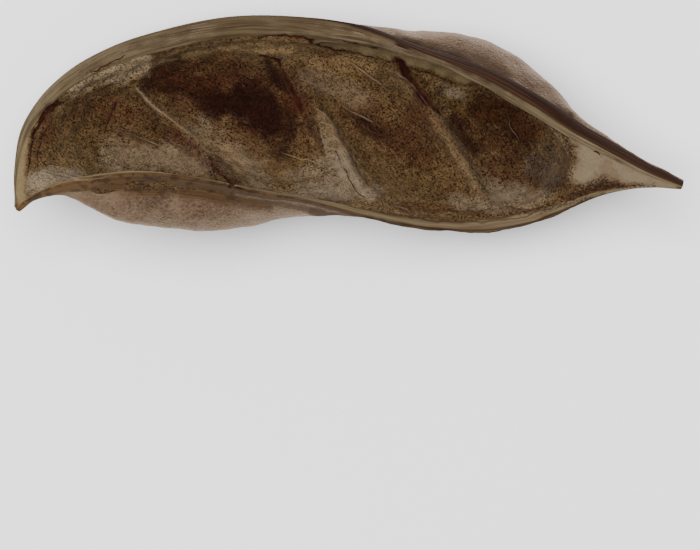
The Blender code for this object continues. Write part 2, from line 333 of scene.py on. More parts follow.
# %% Divide the long steps and soften the inner edges
FACE_STRIPS_THICK, FACE_STRIPS_THIN = 14, 9
BAND_STRIPS_THICK, BAND_STRIPS_THIN, FOOT_STRIPS = 8, 5, 2
BACK_FROM, BACK_TO = 3, BACK_STEPS + 3
THICK_CORNER, LINING_FROM = BACK_STEPS + 6, BACK_STEPS + 7
LINING_TO = LINING_FROM + LINING_STEPS

ribs = np.concatenate([outer, inner], axis=1)
travels = np.concatenate([outer_travel, inner_travel], axis=1)
open_here = np.concatenate([np.zeros_like(outer_travel), inner_openness], axis=1)
strips = np.ones(LINING_TO + 1, int)
strips[1], strips[2] = BAND_STRIPS_THIN, FOOT_STRIPS
strips[BACK_TO], strips[BACK_TO + 1] = FOOT_STRIPS, BAND_STRIPS_THICK
strips[THICK_CORNER], strips[LINING_TO] = FACE_STRIPS_THICK, FACE_STRIPS_THIN


def divided(values):
    """Values on the ribs' points, with every step divided into its number of strips."""
    following = np.roll(values, -1, axis=1)
    columns = []
    for column, count in enumerate(strips):
        for number in range(count):
            share = number / count
            columns.append(values[:, column] * (1 - share) + following[:, column] * share)
    return np.stack(columns, axis=1)


place_on_rib = np.concatenate([column + np.arange(count) / count for column, count in enumerate(strips)])
points = divided(ribs)
lowest, highest = ribs.min(axis=(0, 1)), ribs.max(axis=(0, 1))
points -= ((lowest[0] + highest[0]) / 2, (lowest[1] + highest[1]) / 2, lowest[2] + SINK)
travel = divided(travels)
openness = divided(open_here)
AROUND = points.shape[1]


def near_place(place, reach):
    """1 at a place on the ribs, fading over a number of points to each side."""
    columns = np.arange(AROUND)
    middle = np.argmin(np.abs(place_on_rib - place))
    return np.exp(-(((columns - middle + AROUND / 2) % AROUND - AROUND / 2) / reach) ** 2)


SOFT_EDGES = ((1.0, LINING_FROM, 5.0), (0.8, LINING_TO, 3.0), (0.5, THICK_CORNER, 1.2))
SOFTENING_ROUNDS, SOFTENING = 26, 0.6
softness = np.max([strength * near_place(place, reach) for strength, place, reach in SOFT_EDGES], axis=0)
for _ in range(SOFTENING_ROUNDS):
    beside = (np.roll(points, 1, axis=1) + np.roll(points, -1, axis=1)) / 2
    points += SOFTENING * softness[None, :, None] * (beside - points)
print("points on each divided rib:", AROUND, "triangles:", 2 * AROUND * (RIBS - 1))

# %% [markdown]
# ## Which part is which
# Every later step asks where a point lies: on the felted back, on the darker band beside a seam, on a cut
# face or in the lining. The place on the rib answers that once for all, as soft masks between 0 and 1.

# %% Masks for skin, bands, cut faces and lining
on_rib = np.broadcast_to(place_on_rib, points.shape[:2])
thick_face = ((on_rib > THICK_CORNER + 0.02) & (on_rib < LINING_FROM - 0.02)).astype(float)
thin_face = (on_rib > LINING_TO + 0.05).astype(float)
thick_band = ((on_rib >= BACK_TO + 0.5) & (on_rib <= THICK_CORNER)).astype(float)
thin_band = (on_rib <= BACK_FROM - 0.5).astype(float)
skin = (on_rib <= THICK_CORNER).astype(float)
x, y = points[..., 0], points[..., 1]
across_thick = np.clip(on_rib - THICK_CORNER, 0, 1) * thick_face
across_thin = np.clip(on_rib - LINING_TO, 0, 1) * thin_face


def outward():
    """The surface's own direction at every point, pointing out of the wood."""
    along = np.gradient(points, axis=0)
    around = (np.roll(points, -1, axis=1) - np.roll(points, 1, axis=1)) / 2
    return unit(np.cross(around, along))


facing = outward()
facing_up = smoothstep(0.0, 0.25, facing[..., 2])
print("share of the surface that faces up:", round(float(facing_up.mean()), 2))


def ripple(where, size, seed, waves=18):
    """A smooth random field over points: many waves of about one size, each its own way. Mostly -1 to 1."""
    draw = np.random.default_rng(seed)
    ways = unit(draw.normal(size=(waves, where.shape[-1])))
    pace = 2 * math.pi / size * draw.uniform(0.6, 1.7, waves)
    phase = draw.uniform(0, 2 * math.pi, waves)
    total = np.zeros(where.shape[:-1])
    for way, step, start in zip(ways, pace, phase):
        total += np.sin(where @ way * step + start)
    return total * math.sqrt(2 / waves) / 1.5

# %% [markdown]
# ## Cracks and raised fibres
# The lining shrank more than the wall and tore away from the rim, and bundles of fibre stand out on the
# crests. A painted picture could show them, but it would look flat from the side. Here each is a line in
# plan with a half width at every point. For each point of the mesh the distance to the nearest line is
# kept with a sign for its side. Such a distance changes evenly from point to point, so a material can
# draw a line thinner than a face.

# %% The lines, as X, Y and half width in mm
CRACKS = {
    "rim crack": (1.1, (
        (-65.9, 4.8, 0.23), (-67.5, 4.2, 0.64), (-68.9, 3.1, 0.97), (-70, 1.7, 0.83), (-71, 0.1, 0.37),
        (-71.9, -1.8, 0.21), (-72.6, -3.8, 0.18), (-73.1, -6.1, 0.16), (-73.4, -8.4, 0.14),
        (-73.5, -10.3, 0.07),
    )),
    "rim crack branch": (0.4, ((-70.4, -2.9, 0.09), (-71.1, -5.4, 0.18), (-71.3, -8.4, 0.11))),
    "slit in the first hollow": (0.5, (
        (-53.7, 4.9, 0.11), (-54.4, 3.3, 0.25), (-55.2, 1.2, 0.18), (-55.8, -0.6, 0.14),
        (-56.3, -2.4, 0.07),
    )),
    "long crack under the rim": (0.9, (
        (-21.3, 19.6, 0.07), (-17, 20.2, 0.14), (-13.1, 20, 0.28), (-10.5, 19.5, 0.32),
        (-8.2, 18.5, 0.25), (-5.5, 17.6, 0.21), (-2.5, 16.7, 0.23), (-0.2, 16.5, 0.09),
    )),
    "line under the rim": (0.1, (
        (0.3, 16.3, 0.07), (5.3, 15.4, 0.08), (10.9, 13.9, 0.07), (17.5, 11.8, 0.05), (24.4, 9.3, 0.05),
    )),
    "short crack in the rim": (0.4, (
        (-2.9, 19.5, 0.07), (0.7, 18.5, 0.14), (3.5, 17.8, 0.18), (6.7, 17.2, 0.09),
    )),
    "crevice by the second crest": (1.6, (
        (-20.2, 15.5, 0.23), (-18.1, 15.3, 0.39), (-16.5, 14.3, 0.41), (-15.4, 12.7, 0.3),
        (-14.7, 10.7, 0.28), (-13.7, 8.1, 0.39), (-12.6, 5.8, 0.53), (-11.7, 4, 0.55),
        (-10.8, 2.4, 0.18),
    )),
    "pocket slit": (0.9, (
        (-31.2, -9.3, 0.18), (-29.8, -10.7, 0.3), (-28.5, -12.3, 0.32), (-27.1, -13.9, 0.34),
        (-25.7, -14.9, 0.16),
    )),
    "pocket side": (0.5, ((-31.9, -8.4, 0.11), (-31.4, -9.6, 0.18), (-31.2, -11.2, 0.09))),
    "pocket foot": (0.4, (
        (-30.5, -14.4, 0.09), (-27.8, -14.5, 0.21), (-25, -15.1, 0.21), (-22.3, -15.8, 0.09),
    )),
    "slit in the fan": (0.7, (
        (-3.2, -6.1, 0.07), (-2, -8.4, 0.11), (-0.9, -10.7, 0.16), (0, -12.6, 0.14), (1, -14.4, 0.11),
        (2.1, -16, 0.09), (3.3, -16.9, 0.05),
    )),
    "wedge by the third crest": (2.2, (
        (10.9, 14.6, 0.6), (12.5, 12.7, 0.97), (13.8, 10.7, 0.87), (15.2, 8.6, 0.74), (16.6, 6.5, 0.69),
        (18.2, 4.9, 0.69), (19.6, 3.5, 0.55), (21.2, 2.1, 0.18),
    )),
    "lip crack": (0.4, (
        (34.1, -18.8, 0.09), (37.1, -19.1, 0.16), (39.8, -19.6, 0.23), (41.9, -19.7, 0.21),
        (44.2, -19, 0.09),
    )),
    "edge of the web": (0.2, (
        (-58.8, 11.9, 0.07), (-56.5, 13.1, 0.14), (-54.2, 14.2, 0.11), (-51.9, 15.3, 0.07),
    )),
    "layer of the far lip": (0.1, (
        (9.9, -20.6, 0.09), (18.7, -22.4, 0.16), (30.2, -22.6, 0.21), (39.4, -21.8, 0.16),
        (46.7, -19.2, 0.14), (52.2, -17.4, 0.09),
    )),
    "upper layer of the far lip": (0.1, (
        (12.2, -18.5, 0.07), (21, -20.1, 0.14), (30.2, -20.3, 0.18), (33.8, -19.5, 0.07),
    )),
    "nick in the beak": (0.4, ((56.4, -6.5, 0.07), (57.3, -6.9, 0.18), (57.7, -7.3, 0.07))),
}
FIBRES = {
    "first crest's edge": (0.3, (
        (-49.1, 8.4, 0.11), (-47.3, 6.3, 0.18), (-45.2, 4.2, 0.16), (-42, 1.7, 0.11),
        (-38.3, -1.3, 0.09), (-34.7, -4.3, 0.07),
    )),
    "crease": (0.3, ((-53.3, -1.6, 0.11), (-49.8, -2.7, 0.16), (-46.9, -3.8, 0.21), (-43.4, -5.3, 0.11))),
    "first hollow's edge": (0.3, (
        (-70.1, -11.2, 0.09), (-67.5, -11.8, 0.16), (-65.2, -12.3, 0.21), (-62.7, -13.1, 0.21),
        (-59.5, -13, 0.16), (-57.2, -12.7, 0.14), (-54.4, -12, 0.09),
    )),
    "filament on the second crest": (0.4, (
        (-7.3, 3.3, 0.09), (-6.2, 2.1, 0.18), (-4.8, 0.5, 0.16), (-3.4, -1.3, 0.09),
    )),
    "third crest's edge": (0.5, (
        (11.5, 11.6, 0.14), (13.4, 10, 0.23), (15, 8.4, 0.23), (16.6, 6.5, 0.21), (18.2, 4.4, 0.18),
        (19.8, 1.9, 0.11),
    )),
    "edge of the ochre scab": (0.4, (
        (0.5, 14.2, 0.09), (3, 12.7, 0.21), (5.1, 11.2, 0.25), (7.2, 9.5, 0.21), (8.8, 7.9, 0.09),
    )),
    "twig": (0.4, ((18.9, 8.4, 0.09), (20.5, 8.9, 0.21), (22.6, 9.9, 0.14))),
    "streak 1": (0.2, ((-28.2, -6.8, 0.09), (-25, -8.1, 0.14), (-21.6, -9.8, 0.07))),
    "streak 2": (0.2, ((-26.9, -6.5, 0.07), (-23.6, -8, 0.14), (-20.6, -9.3, 0.07))),
    "streak 3": (0.2, ((-29.4, -7.9, 0.07), (-25.9, -9.3, 0.14), (-23.2, -10.7, 0.07))),
    "ochre thread 1": (0.2, ((-14.9, -6.9, 0.09), (-12.4, -7.9, 0.18), (-9.8, -8.5, 0.11))),
    "ochre thread 2": (0.2, ((-10.3, -8, 0.07), (-8, -8.9, 0.18), (-5.9, -9.9, 0.09))),
    "pocket's lip": (0.3, ((-32.5, -8.5, 0.09), (-31.8, -10.3, 0.18), (-31, -12.3, 0.11))),
    "scrap on the lip": (0.3, ((9.5, -18.3, 0.09), (11.3, -19.1, 0.21), (13.6, -20, 0.11))),
    "thread in the third hollow": (0.2, ((-11.4, 10.5, 0.09), (-8.9, 9.4, 0.18), (-6.2, 8.1, 0.09))),
    "thread under the rim": (0.2, ((-44.1, 14.2, 0.09), (-41.8, 14.7, 0.16), (-39.5, 14.9, 0.09))),
    "fold's edge": (0.4, (
        (-1.3, 4, 0.09), (0.7, 2.7, 0.16), (3.3, 1.6, 0.21), (5.3, 0.5, 0.14), (7.2, -0.6, 0.07),
    )),
}

print("lines drawn by hand:", len(CRACKS) + len(FIBRES))

# %% [markdown]
# ## The fan of fibres
# By the second crest the fibres spread from one root, like the ribs of a fan. Their ends are listed, and
# each ray bows a little on its way there. The rays start at different distances, so that the root doesn't
# look like a star.

# %% Rays from one root
FAN_ROOT, FAN_BOW, FAN_DEPTH, FAN_HALF_WIDTHS = (-7.31, 3.53), 1.15, 0.22, (0.09, 0.18, 0.115)
FAN_ENDS = (
    (-4.09, -12.1), (-2.71, -14.4), (-1.33, -15.78), (0.28, -16.7), (1.89, -16.93), (3.49, -16.47),
    (4.87, -15.78), (6.25, -14.63),
)
for number, (end_x, end_y) in enumerate(FAN_ENDS):
    ray = []
    shares = (0.12 + 0.11 * (number % 3), 0.55 + 0.04 * (number % 2), 0.96)
    for share, width in zip(shares, FAN_HALF_WIDTHS):
        ray_x = FAN_ROOT[0] + share * (end_x - FAN_ROOT[0]) - FAN_BOW * share * (1 - share)
        ray.append((ray_x, FAN_ROOT[1] + share * (end_y - FAN_ROOT[1]), width))
    FIBRES["fan ray " + str(number + 1)] = (FAN_DEPTH, tuple(ray))
print("rays in the fan:", len(FAN_ENDS))

# %% [markdown]
# ## Distances to the lines
# A line on a mesh of this size would look stepped if each point only knew whether it lay on the line. So
# each point keeps its distance instead, in half widths of the line, with a minus on one side. A slow noise
# moves the places a little, so that no line runs straight. The same distance says how far the surface is
# pushed in or out.

# %% Signed distances
SIDES_KEPT, FAR_AWAY, LINE_MARGIN, NARROWEST_PUSH = 4.0, 9.0, 3, 0.28
NEAR_LINE = (0.25, 0.9)


def line_field(lines, wobble):
    """The signed distance to the nearest line in half widths, how near a line is, and how far to push."""
    wander = np.stack([ripple(points, 3.4, 11), ripple(points, 3.1, 12)], axis=-1) * wobble
    here_x, here_y = x + wander[..., 0], y + wander[..., 1]
    side_field, closest, push = np.full_like(x, SIDES_KEPT), np.full_like(x, FAR_AWAY), np.zeros_like(x)
    for height, line in lines.values():
        line = np.array(line)
        low, high = line[:, :2].min(0) - LINE_MARGIN, line[:, :2].max(0) + LINE_MARGIN
        inside = (here_x > low[0]) & (here_x < high[0]) & (here_y > low[1]) & (here_y < high[1])
        inside &= facing_up > 0
        away, side, along = nearest_on(line[:, :2], here_x[inside], here_y[inside])
        width = np.interp(along * (len(line) - 1), np.arange(len(line)), line[:, 2])
        closer = away - width < closest[inside]
        signed = np.clip(side * away / width, -SIDES_KEPT, SIDES_KEPT)
        side_field[inside] = np.where(closer, signed, side_field[inside])
        closest[inside] = np.where(closer, away - width, closest[inside])
        share = width / line[:, 2].max()
        dent = height * share * np.exp(-((away / np.maximum(width, NARROWEST_PUSH)) ** 2))
        push[inside] = np.maximum(push[inside], dent)
    return side_field, 1 - smoothstep(*NEAR_LINE, closest), push * facing_up


crack_side, crack_near, crack_push = line_field(CRACKS, 0.16)
fibre_side, fibre_near, fibre_push = line_field(FIBRES, 0.05)
print("cracks:", len(CRACKS), "fibres:", len(FIBRES), "deepest in mm:", round(float(crack_push.max()), 2))

# %% [markdown]
# ## Sharp edges on the crests
# The crests between the seeds are soft swells, but their tops dried to narrow edges that catch the light.
# Each edge is a height, a half width and a line in plan, and fades out at both ends.

# %% Narrow ridges
CREST_WANDER, RIDGE_ENDS = 0.35, 0.04
SHARP_CRESTS = (
    (0.6, 0.65, ((-49.4, 9.5), (-47.8, 7), (-45.7, 4.4), (-43.4, 2.4), (-41.1, 0.5))),
    (0.3, 2.2, ((-42.7, 1.9), (-38.3, -1.1), (-34.9, -3.4), (-31.7, -5.9), (-28.7, -8.4))),
    (0.6, 1.2, (
        (-10.5, 12.3), (-8.5, 6.3), (-5.7, 1.2), (-2.9, -3.4), (-0.4, -8.4), (2.3, -13.7), (6, -17.4),
    )),
    (0.8, 1.4, (
        (12, 11.8), (14.5, 8.8), (16.8, 6.1), (19.4, 2.6), (21.9, -1.5), (24.6, -5.9), (27.2, -10.3),
        (29.7, -14.9), (31.3, -18.1),
    )),
    (0.3, 1, ((-1.6, 4), (1, 2.6), (3.5, 1.5), (6.3, -0.1), (9.9, -2.9))),
    (0.35, 1, ((-52.6, -1.8), (-48.9, -2.9), (-45.2, -4.5), (-41.1, -6.1))),
    (0.4, 0.9, ((-70.1, -11.2), (-66.4, -12.1), (-62.3, -13.3), (-58.6, -13))),
    (0.3, 0.9, ((0.7, 14.1), (4.4, 11.8), (8.1, 8.6))),
)


def crest_edges():
    """Narrow ridges on the crests: they catch the light along one side and shade the other."""
    total = np.zeros_like(x)
    for height, half_width, line in SHARP_CRESTS:
        wander = CREST_WANDER * ripple(points, 6.0, 41)
        away, _, along = nearest_on(line, x + wander, y - wander)
        fade = np.sin(math.pi * along.clip(RIDGE_ENDS, 1 - RIDGE_ENDS)) ** 0.5
        total = np.maximum(total, height * np.exp(-((away / half_width) ** 2)) * fade)
    return total * facing_up * (1 - skin)


crest_push = crest_edges()
print("highest edge in mm:", round(float(crest_push.max()), 2))

# %% [markdown]
# ## Stains, bloom and painted shade
# The colour of a dried pod comes in soft patches: pale mealy pith in the corners, ash-grey bloom where
# the seed coats rubbed, umber in the deep hollows, rust and ochre where scraps of the lining dried. Some
# patches are painted light and shade: the umber is partly painted shade in the deep hollows, the shade
# patches are painted shade at the feet of the crests, and the pale bloom along the walls under the rim is
# painted light against the shade there. Each patch is a short line with a reach, and its edge wanders
# with a smooth random field so that no patch looks like an ellipse.

# %% The patches, as strength, reach in mm and a line in plan
STAINS = {
    "mealy": (
        (1, 2.3, ((-71.4, -13), (-68.2, -12.1), (-63.6, -12.6))),
        (0.8, 1.6, ((-72.4, -15.3), (-69.6, -12.1))),
        (0.9, 1.8, ((-2.5, -8), (0.3, -12.1), (3, -15.1), (5.8, -16.2))),
        (0.8, 2.3, ((-11.2, -16.7), (-5.2, -16), (-0.6, -15.3))),
        (0.7, 1.1, ((22.3, 7.7), (25.8, 7))),
        (0.6, 1.6, ((33.4, -15.8), (37.5, -16.7))),
        (0.45, 1.8, ((24.2, -18.3), (31.5, -18.8), (39.4, -18.3), (45.3, -16.9))),
    ),
    "web": (
        (1, 2.3, ((-62.7, 8.4), (-59.5, 10.4), (-56.3, 11.1), (-51.7, 12.5), (-47.5, 13.9))),
        (0.7, 1.4, ((-55.4, 10.4), (-51.7, 10.2))),
    ),
    "ash": (
        (1, 3.4, ((-54.4, -8), (-48, -8.4), (-42, -7.7), (-35.1, -9.3))),
        (0.5, 3.2, ((-54.4, -4.3), (-50.8, -6.1))),
        (0.9, 3.2, ((-34.7, -1.5), (-31, -4.5), (-26.9, -8), (-20.9, -12.6))),
        (0.5, 3.2, ((-8.9, 10.9), (-3.4, 9), (2.6, 6.7))),
        (0.5, 1.6, ((-4.8, -3.8), (-2, -8))),
        (0.9, 3, ((-11.2, -12.1), (-6.2, -10.3), (-3.4, -12.6))),
        (0.5, 0.9, ((47.2, -2.4), (49.2, -5.2))),
        (0.9, 2.1, ((31.5, -14.4), (36.1, -15.8), (40.3, -16.2))),
        (0.5, 1.8, ((-25.9, -15.3), (-20, -15.8), (-13.1, -16.2))),
    ),
    # the first three patches are painted light on the walls under the rim, against the shade there; the other
    # two are pale patches in the lining
    "bloom_and_wall_light": (
        (0.5, 1.1, ((17.3, 10.9), (22.8, 8.6), (26.5, 7.7))),
        (0.5, 1.8, ((-13.5, 15.3), (-4.3, 14.3), (5.3, 13.2))),
        (0.8, 1.1, ((-37.4, 16.2), (-31, 17.1), (-22.7, 17.8), (-13.5, 17.1))),
        (0.6, 1.4, ((-71, -0.4), (-68.2, 3.1), (-65, 5.8))),
        (0.6, 2.1, ((-32.8, -3.4), (-29.1, -6.6), (-25, -10.3))),
    ),
    "under_lip": (
        (1, 1.4, ((-58.1, -14.6), (-50.3, -14.6))),
        (1, 1.8, ((-50.3, -14.6), (-38.8, -15.3), (-30.5, -16.5), (-26.9, -17.4))),
        (0.9, 1.4, ((-27.3, -17.2), (-22.7, -18.1), (-18.6, -18.8))),
        (0.7, 0.8, ((-19, -18.3), (-13.5, -19.2), (-8.5, -19.9))),
        (0.9, 0.9, ((-8.5, -20.1), (-0.9, -21.5), (7.2, -23.4), (16.4, -24.7), (23.7, -25.4))),
        (0.9, 0.9, ((48.1, -21.5), (54.1, -18.8), (59.1, -16.9))),
        # this patch on the upper bulge is painted shade: it darkens the felt beside the thick seam and takes
        # its sheen away
        (0.6, 1.1, ((11.3, 20.1), (16.4, 18.5), (21.4, 17.3), (30.2, 14.6), (36.1, 10.9))),
    ),
    "suture": (
        (0.9, 0.6, ((0.7, 22.8), (5.3, 21.5), (9.5, 20.1), (13.6, 18.5))),
        (1, 1.3, ((12.2, 18.5), (17.5, 17.1), (23.3, 15.3))),
        # this patch is painted shade along the outer edge of the far lip
        (1, 1, ((-2, -21.1), (7.2, -23.1), (16.4, -24.7), (23.7, -25.4), (30.2, -25.8))),
        (0.9, 0.8, ((44, -22.7), (48.6, -20.8), (53.6, -18.7), (59.1, -16.7))),
        (1, 1.6, ((23.3, 15), (30.2, 12), (39.4, 7.2), (45.1, 4), (49.9, 1.5))),
    ),
    "olive": (
        (0.8, 4.6, ((-68.7, -3.8), (-64.1, -6.6), (-58.1, -6.1))),
        (0.6, 3.7, ((-24.1, -10.3), (-16.7, -11.2), (-9.8, -12.1))),
        (0.8, 4.1, ((4, -10.7), (10.9, -13.9), (18.7, -16.2))),
        (0.5, 3.7, ((16.4, -5.2), (21, -10.7))),
        (0.5, 2.8, ((-4.3, 4.4), (2.6, 3.1))),
        (0.6, 1.8, ((-45.7, 9), (-43.4, 5.8))),
    ),
    # partly painted shade: dark brown in the deep hollows and on the lower left of the first crest
    "umber_and_shade": (
        (1, 6.9, ((-29.1, 8.1), (-22.3, 5.4), (-17.7, 1.7))),
        (0.6, 3.7, ((-12.1, 10.4), (-10.8, 5.4))),
        (0.9, 5.7, ((-42.5, 10.2), (-35.1, 8.6), (-27.3, 5.8), (-19, 1.2))),
        (0.7, 2.8, ((-38.8, 13.2), (-29.1, 13.2), (-20, 11.3))),
        (0.55, 2.1, ((-50.8, 2.1), (-45.7, -0.1), (-41.1, -3.4))),
        (0.75, 3.9, ((4, 0.3), (10.9, -3.8), (17.3, -6.6))),
        (0.6, 3.2, ((14.1, 1.7), (17.3, -1.5))),
        (0.8, 4.6, ((29.2, 2.1), (32.9, -1.1), (37.5, -5.7))),
        (0.5, 2.1, ((39.4, 2.1), (43, -1.1))),
        (0.7, 1.1, ((45.8, -15.3), (49.2, -12.6), (50.4, -8))),
        (0.35, 3.7, ((-62.7, 4.4), (-54.9, 2.6))),
        (0.6, 2.8, ((34.8, -8.4), (38.4, -12.1), (41.7, -13.9))),
    ),
    # painted shade: darker at the feet of the crests, under the fold and beside sharp edges
    "shade": (
        (0.6, 0.9, ((-46.4, 2.6), (-43.9, 0.1), (-40.6, -2.2))),
        (0.75, 1.8, ((-41.6, -1.8), (-37.9, -4.3), (-34.7, -6.6), (-31.4, -9.6))),
        (0.8, 1.1, ((-1.1, 3.1), (1.7, 1.2), (5.3, -0.6))),
        (0.6, 0.9, ((-48.2, 12.3), (-47.8, 9.5), (-46.2, 7))),
        (0.7, 0.9, ((32.9, -19), (31.1, -20.8), (27.9, -20.4))),
        (0.9, 0.9, ((51.3, -17.2), (55, -15.3), (58.2, -14.2), (61.9, -13.7))),
        (0.7, 0.9, ((24.4, 1.2), (26.3, -2), (28.8, -5.7))),
        (0.6, 0.9, ((-53.1, -1.8), (-48.9, -3.1), (-45.2, -4.5))),
        (0.8, 0.9, ((-10.5, 4), (-8.5, -0.1), (-5.7, -5.7), (-2.5, -11.2))),
        (0.9, 1.4, ((-30.3, -8.4), (-28.2, -10.7), (-25.9, -13.5))),
        (0.7, 1.1, ((-69.1, 1.2), (-70.5, -2.9))),
    ),
    "plum": (
        (1, 3.4, ((-31.4, 5.4), (-24.1, 3.1), (-17.7, 1.2))),
        (0.95, 3.2, ((-24.1, 7.2), (-20, 5.4), (-17.2, 2.1), (-17.7, -1.1))),
        (0.8, 1.8, ((-14, 5.4), (-13.1, -0.1), (-14.9, -5.7))),
        (0.75, 3.4, ((-42.9, 10), (-37, 9), (-31, 7.2))),
        (0.85, 1.6, ((-18.6, 14.1), (-15.1, 9), (-12.1, 3.5))),
        (0.7, 1.1, ((11.8, 13.6), (14.5, 9.5), (17.7, 5.4))),
        # this patch is painted shade along the right side of the third crest
        (0.7, 1.8, ((24.6, 0.3), (26.5, -2.9), (29.2, -5.7))),
        (0.8, 3.2, ((31.1, 4.4), (36.1, 1.7), (40.3, -2.4))),
        (0.6, 1.8, ((-14, -7.3), (-18.1, -3.8))),
        (0.6, 2.1, ((3, -0.1), (6.3, -2.4))),
    ),
    "slate": (
        (0.9, 2.8, ((42.6, -9.8), (44.9, -10.7), (46.3, -12.6))),
        (0.7, 1.8, ((45.8, -5.2), (47.2, -8.4))),
    ),
    "rust": (
        (0.8, 1.1, ((12.7, -19), (17.3, -19.5), (23.7, -19.7))),
        (0.5, 1.8, ((-68.2, -0.1), (-69.6, -3.8))),
        (0.35, 2.3, ((-56.3, 4.4), (-51.7, 2.6))),
        # this faint patch is a painted reddish shade on the lower left of the first crest
        (0.3, 1.4, ((-39.7, -2.4), (-35.1, -6.1))),
        (0.5, 1.8, ((-14.4, 5.4), (-10.3, 3.5))),
        (0.45, 2.1, ((16.4, 3.5), (20, 0.3))),
        (0.5, 3, ((32.5, 4), (38.4, 1.2), (43, -1.1))),
        (0.3, 2.8, ((-43.4, 11.8), (-36.5, 10.9), (-30.1, 10))),
        (0.5, 1.4, ((-5.7, 15.5), (-4.8, 13.6))),
        (0.5, 1.6, ((-31, 15.9), (-28.2, 15))),
        (0.35, 1.6, ((59.1, -10.3), (60.5, -12.3))),
    ),
    "ochre": (
        (0.55, 2.1, ((-2.5, 13.2), (1.7, 11.3), (4.4, 10))),
        (0.5, 1.1, ((-14.4, -7.3), (-9.8, -8.4), (-6.2, -9.8))),
        (0.6, 1.6, ((-66.4, -10.3), (-61.8, -11.2), (-56.3, -11.2))),
        (0.6, 0.9, ((14.1, 12.3), (21, 10.4), (26, 8.6))),
        # this patch is painted light that lifts the top of the fourth hollow out of the shade under the rim
        (0.5, 2.5, ((26, 5.4), (32, 4), (37.1, 1.2))),
    ),
    "tan": (
        (0.8, 0.5, ((-48.9, 8.1), (-47.3, 6.3), (-45.2, 4.2), (-42.3, 1.7))),
        (0.2, 0.7, ((-41.8, 1.2), (-38.1, -1.2), (-34.4, -3.6), (-31.2, -6.4))),
        (0.6, 1.1, ((-6.2, 2.1), (-3.4, -2), (-0.6, -7.5), (2.1, -13), (5.8, -17.2))),
        (0.75, 1.7, (
            (20, 1.7), (21.9, -1.1), (24.4, -4.5), (26.5, -8), (28.3, -11.6), (30.4, -15.6), (32, -18.5),
        )),
        (0.8, 0.7, ((11.8, 11.6), (14.1, 9.3), (16.4, 6.7), (19.6, 2.1), (21.4, -0.6))),
    ),
    "fibrous": (
        (1, 3.2, ((-51.2, -6.1), (-43.4, -8), (-35.1, -9.8))),
        (1, 3.2, ((-28.2, -7.5), (-21.8, -9.8), (-14.4, -11.2))),
        (1, 2.8, ((-5.7, -0.1), (-2.9, -6.1), (0.7, -13.5))),
        (0.8, 2.8, ((4, -3.8), (8.1, -9.3), (11.8, -14.4))),
        (0.8, 2.3, ((-11.2, 11.8), (-4.3, 9), (3.5, 4.4))),
        (0.7, 2.3, ((-59.5, 10.9), (-52.6, 13.2), (-43.4, 15), (-25, 16.4), (-11.2, 16.4))),
        (0.8, 1.8, ((34.8, -16.7), (43, -15.3), (47.6, -12.1))),
        (0.6, 2.1, ((20, 1.2), (23.7, -5.2), (28.8, -12.6))),
    ),
    "khaki": (
        (1, 1.4, ((-74.7, -18.3), (-75.6, -15.8), (-75.8, -11.2), (-75.4, -6.6), (-74.2, -2.4))),
        (1, 1.1, ((-7.1, 18.9), (2.6, 17.6), (10.9, 15.5), (18.7, 13.1), (26.9, 10.2))),
    ),
    "spots": (
        (0.9, 1, (
            (48.8, -2.9), (50.6, -5.4), (51.3, -8.2), (51.1, -11), (49.7, -13.5), (47.6, -15.3),
            (45.1, -16.7),
        )),
        (0.7, 0.8, ((28.1, -9.8), (29.7, -13), (31.1, -15.6), (31.5, -18.5))),
        (0.8, 0.6, ((55.9, -14.7), (62.3, -14.5), (70.2, -14.1))),
        (0.9, 1.1, ((52.2, -15.3), (55.4, -14.2), (58.2, -13))),
        (0.7, 0.7, ((36.1, -20.8), (44, -20.1), (50.9, -18.3), (55.4, -16.9))),
        (0.55, 2.3, ((-60, 10.4), (-54.4, 11.8), (-49.4, 12.7))),
        (0.5, 0.7, ((9.9, -19), (14.1, -20.6), (18.7, -21.3))),
    ),
    "cream": (
        (1, 3.2, ((55, -6.1), (56.4, -9.8), (54.1, -11.2))),
        (1, 2.5, ((58.2, -9.3), (64.6, -11.2), (73.4, -13.9))),
        (0.6, 0.9, ((51.3, -3.8), (57.7, -6.6), (66.9, -10.7))),
    ),
}

print("patches:", sum(len(patches) for patches in STAINS.values()))

# %% [markdown]
# ## From patches to masks
# Every kind of patch becomes one number for each point of the mesh. Patches in the lining count only
# where the surface faces up, those along the seams also where it faces sideways. A few more masks come
# from the form itself: the steep walls, which are painted lighter to offset the shade that falls on them,
# the felted skin, and which end or side of the valve a point is on.

# %% Masks from the patches and from the form
PATCH_EDGE, EDGE_WANDER = (0.45, 1.35), ((0.42, 7.0, 21), (0.24, 2.4, 22))
USUAL_WANDER = 0.7
WANDER = {
    "cream": 0.35, "khaki": 0.35, "spots": 0.35, "suture": 0.35, "under_lip": 0.35,
    "plum": 0.55, "umber_and_shade": 0.6, "slate": 0.5, "tan": 0.5,
}
SEAM_STAINS = ("suture", "under_lip")
RIM_TONES = (
    (-75.59, 0.95), (-56.05, 0.72), (-41.1, 0.55), (-29.61, 0.42), (-11.22, 0.42), (11.77, 0.5),
    (27.86, 0.58), (48.55, 0.85), (62.34, 1),
)


def patches(kind):
    """One soft mask for all the patches of a kind."""
    wander = sum(strength * ripple(points, size, seed) for strength, size, seed in EDGE_WANDER)
    wander *= WANDER.get(kind, USUAL_WANDER)
    mask = np.zeros_like(x)
    for strength, reach, line in STAINS[kind]:
        away, _, _ = nearest_on(line, x, y)
        mask = np.maximum(mask, strength * (1 - smoothstep(*PATCH_EDGE, away / reach + wander)))
    seen = smoothstep(-0.7, -0.3, facing[..., 2]) if kind in SEAM_STAINS else facing_up
    return mask * seen


